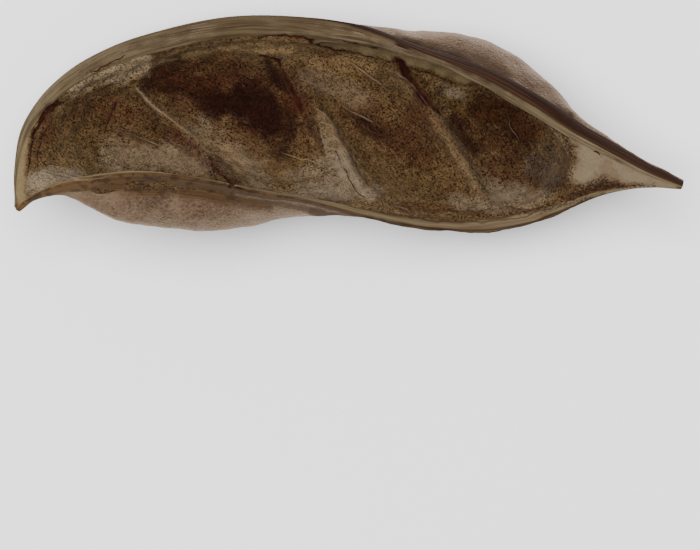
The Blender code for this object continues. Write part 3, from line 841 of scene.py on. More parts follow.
stains = {kind: patches(kind) for kind in STAINS}
stains["suture"] *= smoothstep(BACK_TO - 6.0, BACK_TO - 3.0, on_rib)
stains["lip_lines"] = smoothstep(17.0, 19.0, -y)
stains["rim_tone"] = np.interp(x, *np.array(RIM_TONES).T)
# painted light: steep walls of the lining are painted lighter to offset the shade that falls on them
stains["painted_wall_light"] = smoothstep(0.2, 0.75, 1 - facing[..., 2]) * facing_up * (1 - skin)
bare_skin = (1 - stains["under_lip"]) * (1 - stains["suture"])
stains["felted"] = skin * (1 - np.maximum(thick_band, thin_band)) * bare_skin
# painted shade: the felt is darker towards the thick seam, as on a side turned from the light
stains["thick_side"] = smoothstep(46.0, 78.0, on_rib) * skin
stains["far_lip"] = smoothstep(2.0, 10.0, x)
stains["beak_side"] = smoothstep(-14.0, -6.0, x)
stains["stalk_side"] = 1 - smoothstep(-72.0, -44.0, x + 2.0 * ripple(points, 9.0, 23))
print({kind: round(float(mask.mean()), 3) for kind, mask in stains.items()})

# %% [markdown]
# ## Lumps, cracks and fibres in the wood itself
# The masks and lines so far only know where things are. Now the surface moves: cracks sink, fibres rise,
# the rim swells between its edges, and the whole pod gets the faint lumps of something that grew. Every
# point moves along its own direction, so that the shape from the side changes as well.

# %% Move the surface
RIM_CROWN, RIM_GRAIN, BAND_RIDGE = 0.45, 0.17, 0.22
LINING_LUMPS, BACK_LUMPS, BACK_ROOM = 0.2, 0.16, 0.1
STALK_KNOB, STALK_KNOB_AT, STALK_KNOB_REACH = 0.7, (-76.0, -19.4), 1.6
face_grain = np.stack([across_thick * 3.2, travel / 16.0, np.zeros_like(x)], axis=-1)
thin_grain = np.stack([across_thin * 2.4, travel / 14.0, np.ones_like(x)], axis=-1)
rim_lines = ripple(face_grain, 1.0, 31) * thick_face
lip_lines = ripple(thin_grain, 1.0, 32) * thin_face
lined = 1 - np.maximum(skin, np.maximum(thick_face, thin_face))
wide_seam = smoothstep(1.0, 4.0, profile(THICK_SEAM_WIDTH, x))
lift = RIM_CROWN * np.sin(math.pi * across_thick) * thick_face * wide_seam
lift += RIM_GRAIN * (rim_lines + 0.8 * lip_lines)
lift += LINING_LUMPS * lined * openness * (ripple(points, 4.5, 33) + 0.2 * ripple(points, 1.9, 34))
back_lumps = ripple(points, 11.0, 35) + 0.3 * ripple(points, 3.0, 36)
lift += BACK_LUMPS * skin * back_lumps * (1 - thick_band) - BACK_ROOM * skin
band_ridges = np.sin(np.clip((on_rib - BACK_TO - 1) / 2, 0, 1) * math.pi * 3.0)
lift += BAND_RIDGE * thick_band * band_ridges * smoothstep(-6, 6, x) * (1 - smoothstep(50, 62, x))
lift += fibre_push * 0.8 - crack_push + crest_push
from_knob = np.hypot(x - STALK_KNOB_AT[0], y - STALK_KNOB_AT[1])
lift += STALK_KNOB * np.exp(-((from_knob / STALK_KNOB_REACH) ** 2))
end_room = np.minimum(smoothstep(0, 5, travel), smoothstep(0, 5, LENGTH - travel))
points = points + facing * (lift * (0.15 + 0.85 * end_room))[..., None]
points = np.clip(points, np.array(cad_box[0]) / MM, np.array(cad_box[1]) / MM)
print("moved in and out by, in mm:", round(float(lift.min()), 2), round(float(lift.max()), 2))

# %% [markdown]
# ## Make the mesh
# The points become one closed skin: quads between neighbouring ribs, and a small cap at each end. The
# masks are stored on the mesh as attributes, where the material finds them by name. The UV map is in
# metres along and around the valve, so that grain drawn on it keeps its size and follows the seams.

# %% Join the ribs
def valve_mesh():
    number = np.arange(RIBS * AROUND).reshape(RIBS, AROUND)
    here, there = number[:-1], number[1:]
    quads = np.stack([here, there, np.roll(there, -1, axis=1), np.roll(here, -1, axis=1)], axis=-1)
    quads = quads.reshape(-1, 4)
    faces = [*quads.tolist(), number[0].tolist(), number[-1][::-1].tolist()]
    mesh = bpy.data.meshes.new("pod_valve_wood")
    mesh.from_pydata((points.reshape(-1, 3) * MM).tolist(), [], faces)
    mesh.validate()
    return mesh, quads


def store(mesh, name, values):
    attribute = mesh.attributes.new(name, "FLOAT", "POINT")
    attribute.data.foreach_set("value", values.astype(np.float32).ravel())


def store_grain(mesh):
    """A UV map in metres: along the valve, and around it from the edge of the nearer seam."""
    steps = np.linalg.norm(np.diff(np.concatenate([points, points[:, :1]], axis=1), axis=1), axis=-1)
    around = np.concatenate([np.zeros((RIBS, 1)), np.cumsum(steps, axis=1)], axis=1)
    edges = [np.argmin(np.abs(place_on_rib - place)) for place in (0, THICK_CORNER)] + [AROUND]
    nearest = np.argmin(np.abs(np.arange(AROUND)[:, None] - np.array(edges)[None]), axis=1)
    start = around[:, np.array(edges)[nearest]]
    along = np.concatenate([travel, travel[:, :1]], axis=1)
    low = np.stack([along[:, :-1], around[:, :-1] - start], axis=-1) * MM
    high = np.stack([along[:, 1:], around[:, 1:] - start], axis=-1) * MM
    corners = np.stack([low[:-1], low[1:], high[1:], high[:-1]], axis=2).reshape(-1, 2)
    caps = np.concatenate([low[0], low[-1, ::-1]])
    layer = mesh.uv_layers.new(name="grain")
    layer.data.foreach_set("uv", np.concatenate([corners, caps]).astype(np.float32).ravel())


valve_wood, valve_quads = valve_mesh()
for name, values in {
    "skin": skin, "thick_face": thick_face, "thin_face": thin_face, "thick_band": thick_band,
    "thin_band": thin_band, "across": across_thick + across_thin,
    "crack_side": crack_side, "crack_near": crack_near, "fibre_side": fibre_side, "fibre_near": fibre_near,
    "rim_lines": rim_lines + lip_lines, **stains,
}.items():
    store(valve_wood, name, values)
store_grain(valve_wood)
valve_wood.shade_smooth()
valve = bpy.data.objects.new("pod_valve_skin", valve_wood)
bpy.context.scene.collection.objects.link(valve)
print("valve:", len(valve_wood.vertices), "points,", len(valve_wood.polygons), "faces")

# %% [markdown]
# ## A short way to write materials
# A procedural material is a graph of small nodes, and building it by hand takes three lines for each. The
# class below wraps one socket so that +, - and * add Math nodes by themselves. Any other node comes from
# one method, which takes the node's type, its settings, and then its values or links.

# %% The socket wrapper
class Socket:
    """An output of a node that can be reckoned with."""

    def __init__(self, tree, output):
        self.tree = tree
        self.output = output

    def node(self, kind, settings=None, values=None, out=0):
        """Adds a node: its settings first, then its values or links by socket name or number."""
        made = self.tree.nodes.new(kind)
        for name, value in (settings or {}).items():
            setattr(made, name, value)
        for name, value in (values or {}).items():
            if isinstance(value, Socket):
                self.tree.links.new(value.output, made.inputs[name])
            else:
                made.inputs[name].default_value = value
        return Socket(self.tree, made.outputs[out])

    def reckon(self, operation, first, second):
        return self.node("ShaderNodeMath", {"operation": operation}, {0: first, 1: second})

    def __add__(self, other):
        return self.reckon("ADD", self, other)

    def __radd__(self, other):
        return self.reckon("ADD", other, self)

    def __sub__(self, other):
        return self.reckon("SUBTRACT", self, other)

    def __rsub__(self, other):
        return self.reckon("SUBTRACT", other, self)

    def __mul__(self, other):
        return self.reckon("MULTIPLY", self, other)

    def __rmul__(self, other):
        return self.reckon("MULTIPLY", other, self)

    def __abs__(self):
        return self.reckon("ABSOLUTE", self, 0.0)

    def largest(self, other):
        return self.reckon("MAXIMUM", self, other)

    def step(self, low, high):
        """0 below low, 1 above high, and a smooth rise between them."""
        ends = {"Value": self, 1: min(low, high), 2: max(low, high), 3: 0.0 if low < high else 1.0}
        ends[4] = 1.0 - ends[3]
        return self.node("ShaderNodeMapRange", {"interpolation_type": "SMOOTHSTEP"}, ends)

    def mixed(self, first, second):
        """Between two colours, by this socket as the factor."""
        values = {"Factor": self, 6: first, 7: second}
        return self.node("ShaderNodeMix", {"data_type": "RGBA", "clamp_factor": True}, values, out=2)


def shade(red, green, blue):
    return (red, green, blue, 1.0)


def new_material(name):
    """A material, the start of its graph, and its surface shader."""
    material = bpy.data.materials.new(name)
    material.use_nodes = True
    tree = material.node_tree
    shader = tree.nodes["Principled BSDF"]
    return material, Socket(tree, None), shader


def attribute(graph, name):
    return graph.node("ShaderNodeAttribute", {"attribute_name": name}, out=2)


print("the wrapper is ready")

# %% [markdown]
# ## Dried pod wood
# One material covers the whole valve, because its zones run into each other. The lining is a brown ground
# with fine dark pits; stains tint it; the cut faces are khaki and drawn with threads that follow the
# seams; the back is felted, which needs a little sheen. Cracks and fibres come from the signed distances.
# Fine relief is a Bump made from the same patterns, so that every speck that is darker also lies deeper.

# %% Tints and the patterns that carry them
LINING_TINTS = (
    ("olive", 0.6, shade(0.024, 0.013, 0.005), shade(0.076, 0.052, 0.020)),
    # painted light on the steep walls, against their shade
    ("painted_wall_light", 0.9, shade(0.060, 0.037, 0.018), shade(0.180, 0.122, 0.064)),
    # umber, partly painted shade in the deep hollows
    ("umber_and_shade", 0.95, shade(0.011, 0.0032, 0.0012), shade(0.040, 0.016, 0.007)),
    ("ochre", 0.8, shade(0.040, 0.022, 0.006), shade(0.100, 0.065, 0.024)),
    ("ash", 0.9, shade(0.046, 0.031, 0.019), shade(0.140, 0.105, 0.072)),
    # partly painted light on the walls under the rim
    ("bloom_and_wall_light", 0.9, shade(0.080, 0.052, 0.025), shade(0.220, 0.150, 0.078)),
    ("tan", 0.9, shade(0.066, 0.042, 0.022), shade(0.130, 0.092, 0.053)),
    ("shade", 0.85, shade(0.012, 0.004, 0.002), shade(0.034, 0.016, 0.008)),
    ("plum", 0.95, shade(0.002, 0.0004, 0.0003), shade(0.015, 0.0030, 0.0016)),
    ("slate", 0.85, shade(0.018, 0.012, 0.009), shade(0.046, 0.035, 0.027)),
    ("mealy", 0.95, shade(0.082, 0.063, 0.043), shade(0.170, 0.140, 0.106)),
    ("web", 0.95, shade(0.125, 0.092, 0.058), shade(0.300, 0.230, 0.155)),
    ("khaki", 0.95, shade(0.088, 0.065, 0.036), shade(0.145, 0.112, 0.066)),
    ("cream", 0.97, shade(0.112, 0.084, 0.056), shade(0.153, 0.124, 0.089)),
    ("rust", 0.7, shade(0.032, 0.008, 0.003), shade(0.080, 0.032, 0.012)),
)

FELT_SHEEN, WOOD_SHEEN = 0.55, 0.02
STALK_LIE, BEAK_LIE = -27.0, -50.0
MASKS = (
    *STAINS, "painted_wall_light", "felted", "thick_side", "far_lip", "lip_lines", "across", "skin", "thick_face",
    "thin_face", "thick_band", "thin_band", "rim_tone", "rim_lines", "stalk_side", "beak_side",
    "crack_side", "crack_near", "fibre_side", "fibre_near",
)


def painted(ground, *coats):
    """A ground colour under thin coats, each a factor and a colour."""
    for reach, colour in coats:
        ground = reach.mixed(ground, colour)
    return ground


def wood_patterns(graph, beak_side):
    """The noises that draw the wood: most in the object's own place, the threads along the seams."""
    place = graph.node("ShaderNodeTexCoord", out=3)
    grain = graph.node("ShaderNodeUVMap", {"uv_map": "grain"})

    def noise(where, scale, detail=2.0, rough=0.5, twist=0.0):
        values = {"Vector": where, "Scale": scale, "Detail": detail, "Roughness": rough, "Distortion": twist}
        return graph.node("ShaderNodeTexNoise", None, values)

    def laid(where, turn, scale):
        """Coordinates along a line at this angle and across it, in periods a metre."""
        values = {"Rotation": (0.0, 0.0, math.radians(turn)), "Scale": [1 / times for times in scale]}
        return graph.node("ShaderNodeMapping", {"vector_type": "TEXTURE"}, {"Vector": where, **values})

    near_streaks = noise(laid(place, STALK_LIE, (220.0, 3000.0, 1500.0)), 1.0, 3.0, 0.6, 0.3)
    far_streaks = noise(laid(place, BEAK_LIE, (200.0, 2700.0, 1500.0)), 1.0, 3.0, 0.6, 0.3)
    return SimpleNamespace(
        cloudy=noise(place, 130.0, 4.0, 0.6),
        mottle=noise(place, 430.0, 3.0, 0.55, 0.3),
        speck=noise(place, 2500.0, 2.0, 0.5, 0.4),
        pits=noise(place, 2100.0, 1.0, 0.5, 1.0).step(0.465, 0.40),
        fine=noise(place, 3400.0, 2.0, 0.6),
        nap=noise(place, 1500.0, 3.0, 0.6),
        worn=noise(place, 55.0, 3.0, 0.55),
        spots=noise(place, 1700.0, 2.0, 0.5),
        streaks=beak_side * (far_streaks - near_streaks) + near_streaks,
        threads=noise(laid(grain, 0.0, (50.0, 3800.0, 1.0)), 1.0, 3.0, 0.65, 0.1),
        broad_threads=noise(laid(grain, 0.0, (22.0, 1100.0, 1.0)), 1.0, 2.0, 0.5, 0.1),
    )


print("tints in the lining:", len(LINING_TINTS), "masks:", len(MASKS))

# %% [markdown]
# ## Paint for the lining
# The lining is two colours, a dark and a pale one, that every stain shifts in its own way. A fine noise
# then picks between the two, so a stained place keeps its specks. Streaks lie over them along the slant
# of the seeds, and where the lining is smooth or fibrous the specks grow quiet. Painting each stain in
# one flat colour would lose that grain.

# %% Lining paint
def lining_paint(mask, wood):
    """The speckled lining, and how quiet its specks are from place to place."""
    dark, pale = shade(0.023, 0.010, 0.004), shade(0.085, 0.054, 0.026)
    for name, strength, darker, paler in LINING_TINTS:
        reach = vars(mask)[name] * strength
        dark, pale = reach.mixed(dark, darker), reach.mixed(pale, paler)
    drawn = mask.fibrous * 0.38 + mask.ash * 0.1 + mask.mealy * 0.3
    quiet = (1.0 - mask.cream.largest(mask.khaki) * 0.85 - drawn).largest(0.12)
    depth = 0.56 + (wood.speck - 0.5) * 2.1 * quiet + (wood.mottle.step(0.3, 0.7) - 0.5) * 0.35
    streak_colour = (0.75 - mask.plum * 0.7).mixed(pale, shade(0.098, 0.066, 0.038))
    return quiet, painted(
        depth.mixed(dark, pale),
        (wood.streaks.step(0.54, 0.68) * (quiet * 0.5 + drawn), streak_colour),
        (wood.streaks.step(0.46, 0.33) * (quiet * 0.4 + drawn * 0.5), shade(0.016, 0.007, 0.004)),
        (wood.pits * 0.85 * quiet, dark),
        (wood.pits * 0.6 * quiet, shade(0.006, 0.002, 0.001)),
    )


drawn_share = (stains["fibrous"] * lined).sum() / lined.sum()
print("share of the lining with drawn fibres:", round(float(drawn_share), 2))

# %% [markdown]
# ## Paint for the cut faces and the back
# The cut faces show layers of wood cut along the grain, so threads in the UV map's own direction draw
# them. The back is felt over wood: a nap in two scales, worn in patches, paler at the stalk end, and
# darker towards the thick seam as painted shade. Beside the seams it is rubbed bare, and one bare patch
# under the thick seam is painted shade. Each zone is a short list of thin coats over a ground, which is
# also how a painter would do it.

# %% Paint for the seam faces, the bands and the felt
def cut_face_paint(mask, wood):
    """The two seam faces: threads and layers that run with the seam, a dark outer edge and a pale line."""
    layered = mask.thin_face * 0.35 + 0.4
    layers = wood.broad_threads.step(0.54, 0.60) * mask.thin_face * mask.far_lip
    pale_line = abs(mask.across - 0.45).step(0.4, 0.15) * mask.thin_face
    dark_edge = mask.across.step(0.10, 0.02) * mask.thick_face
    rim_depth = mask.rim_tone + (wood.cloudy - 0.5) * 0.5
    return painted(
        rim_depth.mixed(shade(0.024, 0.014, 0.006), shade(0.110, 0.088, 0.055)),
        (wood.threads.step(0.52, 0.34) * 0.6, shade(0.028, 0.015, 0.006)),
        (wood.broad_threads.step(0.54, 0.66) * 0.5, shade(0.024, 0.012, 0.005)),
        (mask.rim_lines.step(0.1, -0.9) * layered, shade(0.020, 0.010, 0.005)),
        (mask.rim_lines.step(0.6, 1.2) * 0.35, shade(0.105, 0.080, 0.047)),
        (mask.cream * 0.8, shade(0.120, 0.090, 0.055)),
        (layers * 0.7, shade(0.026, 0.012, 0.008)),
        (pale_line * 0.55, shade(0.125, 0.095, 0.062)),
        (dark_edge * 0.7, shade(0.014, 0.007, 0.004)),
    )


def band_paint(wood):
    """The dark bundle of threads beside the thick seam."""
    return painted(
        wood.threads.step(0.36, 0.66).mixed(shade(0.006, 0.0015, 0.0007), shade(0.027, 0.010, 0.005)),
        (wood.broad_threads.step(0.56, 0.64) * 0.5, shade(0.052, 0.028, 0.014)),
    )


def back_paint(mask, wood, band_colour):
    """The felted back: mottled and worn, with a bare flange at one seam and a bare lip at the other."""
    drawn_threads = wood.threads.step(0.3, 0.7)
    flange_colour = painted(
        drawn_threads.mixed(shade(0.036, 0.015, 0.006), shade(0.086, 0.048, 0.022)),
        (mask.beak_side, band_colour),
    )
    seat_colour = drawn_threads.mixed(shade(0.066, 0.032, 0.011), shade(0.110, 0.066, 0.026))
    far_colour = drawn_threads.mixed(shade(0.016, 0.008, 0.005), shade(0.052, 0.034, 0.022))
    lip_colour = painted(
        drawn_threads.mixed(shade(0.030, 0.015, 0.007), shade(0.068, 0.041, 0.020)),
        (mask.stalk_side * 0.9, seat_colour),
        (wood.mottle.step(0.5, 0.38) * 0.6, shade(0.018, 0.007, 0.004)),
        (mask.far_lip, far_colour),
    )
    return painted(
        wood.cloudy.step(0.35, 0.68).mixed(shade(0.060, 0.036, 0.023), shade(0.105, 0.074, 0.052)),
        (wood.worn.step(0.50, 0.66) * 0.55, shade(0.070, 0.047, 0.025)),
        (wood.worn.step(0.42, 0.34) * 0.5, shade(0.016, 0.007, 0.004)),
        (wood.nap.step(0.52, 0.66) * 0.55, shade(0.125, 0.090, 0.064)),
        (wood.nap.step(0.47, 0.34) * 0.6, shade(0.011, 0.005, 0.003)),
        (wood.cloudy.step(0.30, 0.24) * 0.8, shade(0.009, 0.003, 0.003)),
        # painted shade towards the thick seam
        (mask.thick_side * 0.65, shade(0.026, 0.014, 0.009)),
        (mask.stalk_side * 0.5, shade(0.150, 0.112, 0.084)),
        (mask.thick_band * 0.95, flange_colour),
        (mask.thin_band.largest(mask.under_lip * 0.95), lip_colour),
    )


print("share of the back that is felted:", round(float(stains["felted"].sum() / skin.sum()), 2))

# %% [markdown]
# ## The whole valve's finish
# The zones are laid over each other by their masks, and the cracks and fibres come last, because they
# cross the zones. Their signed distances are roughened by a noise, so that no line has a ruled edge. Felt
# scatters light sideways, so a second shader with a strong sheen is mixed in where the back is felted.

# %% Put the finish together
def finish(graph, shader, changing, fixed):
    """Links what changes over a surface to its shader, and sets what doesn't."""
    for name, value in changing.items():
        graph.tree.links.new(value.output, shader.inputs[name])
    for name, value in fixed.items():
        shader.inputs[name].default_value = value


def pod_wood():
    material, graph, shader = new_material("dried_pod_wood")
    mask = SimpleNamespace(**{name: attribute(graph, name) for name in MASKS})
    wood = wood_patterns(graph, mask.beak_side)
    quiet, lining_colour = lining_paint(mask, wood)
    band_colour = band_paint(wood)
    faces = mask.thick_face.largest(mask.thin_face)
    dark_spot = wood.spots.step(0.48, 0.41) * mask.spots

    ragged = (wood.mottle - 0.5) * 1.2
    crack = (abs(mask.crack_side) + ragged).step(1.2, 0.7) * mask.crack_near
    crack_edge = (abs(mask.crack_side) + ragged).step(2.4, 1.0) * mask.crack_near
    fibre = (abs(mask.fibre_side) + ragged * 0.6).step(1.1, 0.4) * mask.fibre_near
    # the cracks are painted dark maroon to near black: partly the torn inner wood, partly painted shade
    # inside the gap
    torn_and_shaded = painted(
        wood.mottle.step(0.3, 0.7).mixed(shade(0.008, 0.001, 0.001), shade(0.034, 0.007, 0.004)),
        (mask.lip_lines * 0.9, shade(0.026, 0.015, 0.008)),
    )
    colour = painted(
        lining_colour,
        (faces, cut_face_paint(mask, wood)),
        (mask.skin, back_paint(mask, wood, band_colour)),
        (mask.suture * 0.95, band_colour),
        (dark_spot * 0.9, shade(0.014, 0.005, 0.003)),
        (crack_edge * (0.5 - mask.lip_lines * 0.4), shade(0.030, 0.012, 0.006)),
        (crack * (0.9 - mask.lip_lines * 0.35), torn_and_shaded),
        (fibre * 0.7, shade(0.120, 0.090, 0.060)),
    )
    wash = {"Factor": 1.0, 6: colour, 7: shade(1.0, 0.955, 0.86)}
    colour = graph.node("ShaderNodeMix", {"data_type": "RGBA", "blend_type": "MULTIPLY"}, wash, out=2)

    height = (wood.speck - 0.5) * 0.8 + (wood.nap - 0.5) * mask.felted * 1.2 + (wood.fine - 0.5) * 0.3
    height = (height + (wood.streaks - 0.5) * 0.7 - wood.pits * 0.25) * (1.0 - faces * 0.8) * quiet
    height = height + (wood.threads - 0.5) * faces * 1.1 + (wood.broad_threads - 0.5) * faces * 0.6
    height = height - crack * 1.2 + fibre * 0.5 - dark_spot * 0.5
    normal = graph.node("ShaderNodeBump", None, {"Strength": 0.6, "Distance": 0.0003, "Height": height})

    roughness = 0.85 - faces * 0.14 - mask.cream * 0.12 + wood.pits * 0.1
    coat = mask.thin_band.largest(mask.thick_band) * mask.skin * 0.05
    changing = {"Base Color": colour, "Roughness": roughness, "Normal": normal}
    finish(graph, shader, {**changing, "Coat Weight": coat}, {
        "Coat Roughness": 0.45, "Sheen Weight": WOOD_SHEEN, "Sheen Roughness": 0.5,
        "Sheen Tint": shade(0.75, 0.66, 0.58), "Specular IOR Level": 0.05,
    })
    felt = graph.tree.nodes.new("ShaderNodeBsdfPrincipled")
    finish(graph, felt, changing, {
        "Sheen Weight": FELT_SHEEN, "Sheen Roughness": 0.4,
        "Sheen Tint": shade(0.80, 0.62, 0.48), "Specular IOR Level": 0.03,
    })
    bare, nappy = Socket(graph.tree, shader.outputs["BSDF"]), Socket(graph.tree, felt.outputs["BSDF"])
    surface = graph.node("ShaderNodeMixShader", None, {0: mask.felted, 1: bare, 2: nappy})
    graph.tree.links.new(surface.output, graph.tree.nodes["Material Output"].inputs["Surface"])
    return material


pod_wood_material = pod_wood()
valve_wood.materials.append(pod_wood_material)
print("nodes in the valve's material:", len(pod_wood_material.node_tree.nodes))

# %% [markdown]
# ## Things that grow on a surface or follow a path
# Short fibres, crumbs of pith and long threads repeat in hundreds, so Geometry Nodes make them. Each tree
# is built here with named inputs for its sizes and a fixed seed. It ends in Realize Instances and Set
# Material, because an export drops instances. The evaluated result is then kept as a plain mesh and the
# modifier goes.

# %% Helpers for the trees
def new_tree(name, inputs):
    """A geometry tree with named inputs; returns the graph, its inputs by name and its group output."""
    tree = bpy.data.node_groups.new(name, "GeometryNodeTree")
    tree.interface.new_socket(name="Geometry", in_out="INPUT", socket_type="NodeSocketGeometry")
    for label, kind in inputs.items():
        tree.interface.new_socket(name=label, in_out="INPUT", socket_type="NodeSocket" + kind)
    tree.interface.new_socket(name="Geometry", in_out="OUTPUT", socket_type="NodeSocketGeometry")
    start, end = tree.nodes.new("NodeGroupInput"), tree.nodes.new("NodeGroupOutput")
    given = {label: Socket(tree, start.outputs[label]) for label in ("Geometry", *inputs)}
    return Socket(tree, None), given, end


def set_down(graph, end, body, material):
    """The end of every tree: real geometry with a material."""
    body = graph.node("GeometryNodeRealizeInstances", None, {"Geometry": body})
    body = graph.node("GeometryNodeSetMaterial", None, {"Geometry": body, "Material": material})
    graph.tree.links.new(body.output, end.inputs["Geometry"])


def between(graph, low, high, seed):
    return graph.node("FunctionNodeRandomValue", {"data_type": "FLOAT"}, {2: low, 3: high, 8: seed}, out=1)


def field(graph, name, kind="FLOAT"):
    return graph.node("GeometryNodeInputNamedAttribute", {"data_type": kind}, {"Name": name})


def grown(name, host, graph, values):
    """Runs a tree on a host mesh and keeps the result as a plain piece."""
    base = bpy.data.objects.new(name + "_host", host)
    bpy.context.scene.collection.objects.link(base)
    modifier = base.modifiers.new(name, "NODES")
    modifier.node_group = graph.tree
    for item in graph.tree.interface.items_tree:
        if item.in_out == "INPUT" and item.name in values:
            modifier[item.identifier] = values[item.name]
    bpy.context.view_layer.update()
    seen = base.evaluated_get(bpy.context.evaluated_depsgraph_get())
    mesh = bpy.data.meshes.new_from_object(seen)
    mesh.name = name + "_wood"
    base.modifiers.remove(modifier)
    bpy.data.objects.remove(base)
    mesh.shade_smooth()
    made = bpy.data.objects.new(name, mesh)
    bpy.context.scene.collection.objects.link(made)
    print(name, "has", len(mesh.polygons), "faces")
    return made


# %% [markdown]
# ## Dry fibre and pith
# The fibres and crumbs are the same stuff as the lining, only paler and drier, and no two have the same
# tone. Noise in the object's own coordinates gives each one its tone, a finer noise gives the streaks
# along it.

# %% Two finishes for the small pieces
def small_stuff(name, darker, paler, across):
    material, graph, shader = new_material(name)
    place = graph.node("ShaderNodeTexCoord", out=3)
    tone = graph.node("ShaderNodeTexNoise", None, {"Vector": place, "Scale": 260.0, "Detail": 3.0})
    grit = graph.node("ShaderNodeTexNoise", None, {"Vector": place, "Scale": across, "Detail": 2.0})
    mixture = tone.step(0.35, 0.65) * 0.6 + grit.step(0.35, 0.65) * 0.4
    normal = graph.node("ShaderNodeBump", None, {"Strength": 0.4, "Distance": 0.0001, "Height": grit})
    colour = mixture.mixed(darker, paler)
    changing = {"Base Color": colour, "Roughness": 0.75 + grit * 0.2, "Normal": normal}
    finish(graph, shader, changing, {"Specular IOR Level": 0.05})
    return material


FIBRE_GRIT, PITH_GRIT = 5200.0, 4200.0
fibre_finish = small_stuff("dry_fibre", shade(0.040, 0.025, 0.014), shade(0.120, 0.088, 0.058), FIBRE_GRIT)
loose_finish = small_stuff("loose_thread", shade(0.024, 0.015, 0.010), shade(0.078, 0.056, 0.038), FIBRE_GRIT)
pith_finish = small_stuff("pith_crumb", shade(0.055, 0.036, 0.022), shade(0.150, 0.115, 0.080), PITH_GRIT)
print("small finishes:", fibre_finish.name, pith_finish.name)

# %% [markdown]
# ## Fibres in the lining
# Fine fibres lie on the lining and run slantwise from the thick seam to the thin one, as the crests do.
# They are scattered where the lining is fibrous, turned to lie along the slant, and each is a thin bent
# spindle.

# %% Strands scattered on the lining
def part_of_lining(extra):
    """A copy of the lining's faces with the fields that the trees need."""
    number = -np.ones(RIBS * AROUND, dtype=int)
    chosen = (lined > 0.4).ravel()
    number[chosen] = np.arange(chosen.sum())
    faces = [quad for quad in number[valve_quads].tolist() if min(quad) >= 0]
    mesh = bpy.data.meshes.new("lining_host")
    mesh.from_pydata((points.reshape(-1, 3)[chosen] * MM).tolist(), [], faces)
    for name, values in extra.items():
        values = values.reshape(RIBS * AROUND, -1)[chosen]
        kind, slot = ("FLOAT_VECTOR", "vector") if values.shape[1] == 3 else ("FLOAT", "value")
        mesh.attributes.new(name, kind, "POINT").data.foreach_set(slot, values.astype(np.float32).ravel())
    return mesh


FAN_CENTRE, FAN_MIDDLE, FAN_REACH = (-7.5, 4.4), (-2.0, -7.3), (6.0, 11.0)


def fibre_lie():
    """The direction in which fibres lie at each point: slantwise, and fanned out by the second crest."""
    slant = np.radians(STALK_LIE - 25.0 * stains["beak_side"])
    lie = np.stack([np.cos(slant), np.sin(slant), np.zeros_like(x)], axis=-1)
    fan = unit(np.stack([x - FAN_CENTRE[0], y - FAN_CENTRE[1], np.zeros_like(x)], axis=-1))
    (middle_x, middle_y), (reach_x, reach_y) = FAN_MIDDLE, FAN_REACH
    near = np.exp(-(((x - middle_x) / reach_x) ** 2 + ((y - middle_y) / reach_y) ** 2))[..., None]
    lie = unit(lie * (1 - near) + fan * near)
    return unit(lie - facing * (lie * facing).sum(-1, keepdims=True))


graph, given, end = new_tree("strands", {
    "Crowd": "Float", "Shortest": "Float", "Longest": "Float", "Thickness": "Float", "Seed": "Int",
    "Finish": "Material",
})
crowd = field(graph, "crowd") * given["Crowd"]
scatter = {"Mesh": given["Geometry"], "Density": crowd, "Seed": given["Seed"]}
spread = graph.node("GeometryNodeDistributePointsOnFaces", None, scatter)
normal = Socket(graph.tree, spread.output.node.outputs["Normal"])
lie = {"Vector": field(graph, "lie", "FLOAT_VECTOR")}
lying = graph.node("FunctionNodeAlignRotationToVector", {"axis": "X"}, lie)
stand = {"Rotation": lying, "Vector": normal}
lying = graph.node("FunctionNodeAlignRotationToVector", {"axis": "Z", "pivot_axis": "X"}, stand)
turns = {"Z": between(graph, -0.35, 0.35, 3), "Y": between(graph, -0.12, 0.04, 4)}
turn = graph.node("ShaderNodeCombineXYZ", None, turns)
turn = graph.node("FunctionNodeEulerToRotation", None, {0: turn})
lying = graph.node("FunctionNodeRotateRotation", {"rotation_space": "LOCAL"}, {0: lying, 1: turn})
line = graph.node("GeometryNodeCurvePrimitiveLine", None, {"Start": (-0.5, 0, 0), "End": (0.5, 0, 0)})
line = graph.node("GeometryNodeResampleCurve", None, {"Curve": line, "Count": 6})
along = graph.node("GeometryNodeSplineParameter")
arch = along * (1.0 - along) * 4.0
bend = graph.node("ShaderNodeCombineXYZ", None, {"Y": arch * 0.10, "Z": arch * 0.03})
line = graph.node("GeometryNodeSetPosition", None, {"Geometry": line, "Offset": bend})
ring = graph.node("GeometryNodeCurvePrimitiveCircle", None, {"Resolution": 4, "Radius": given["Thickness"]})
parts = {"Curve": line, "Profile Curve": ring, "Scale": arch * 0.85 + 0.15, "Fill Caps": True}
spindle = graph.node("GeometryNodeCurveToMesh", None, parts)
size = between(graph, given["Shortest"], given["Longest"], 5)
placed = {"Points": spread, "Instance": spindle, "Rotation": lying, "Scale": size}
placed = graph.node("GeometryNodeInstanceOnPoints", None, placed)
set_down(graph, end, placed, given["Finish"])

fibre_crowd = np.clip(stains["fibrous"] + 0.05, 0, 1) * openness.clip(0.2, 1)
fibre_host = part_of_lining({"crowd": fibre_crowd, "lie": fibre_lie()})
lining_fibres = grown("lining_fibres", fibre_host, graph, {
    "Crowd": 1.6e6, "Shortest": 0.0009, "Longest": 0.0026, "Thickness": 0.022, "Seed": 7,
    "Finish": fibre_finish,
})

# %% [markdown]
# ## Crumbs of pith
# In the corners, on the web and over the crests the lining broke up into pale crumbs. Each is a tiny
# squashed lump. Seen from a step away they are what makes the mealy patches look mealy.

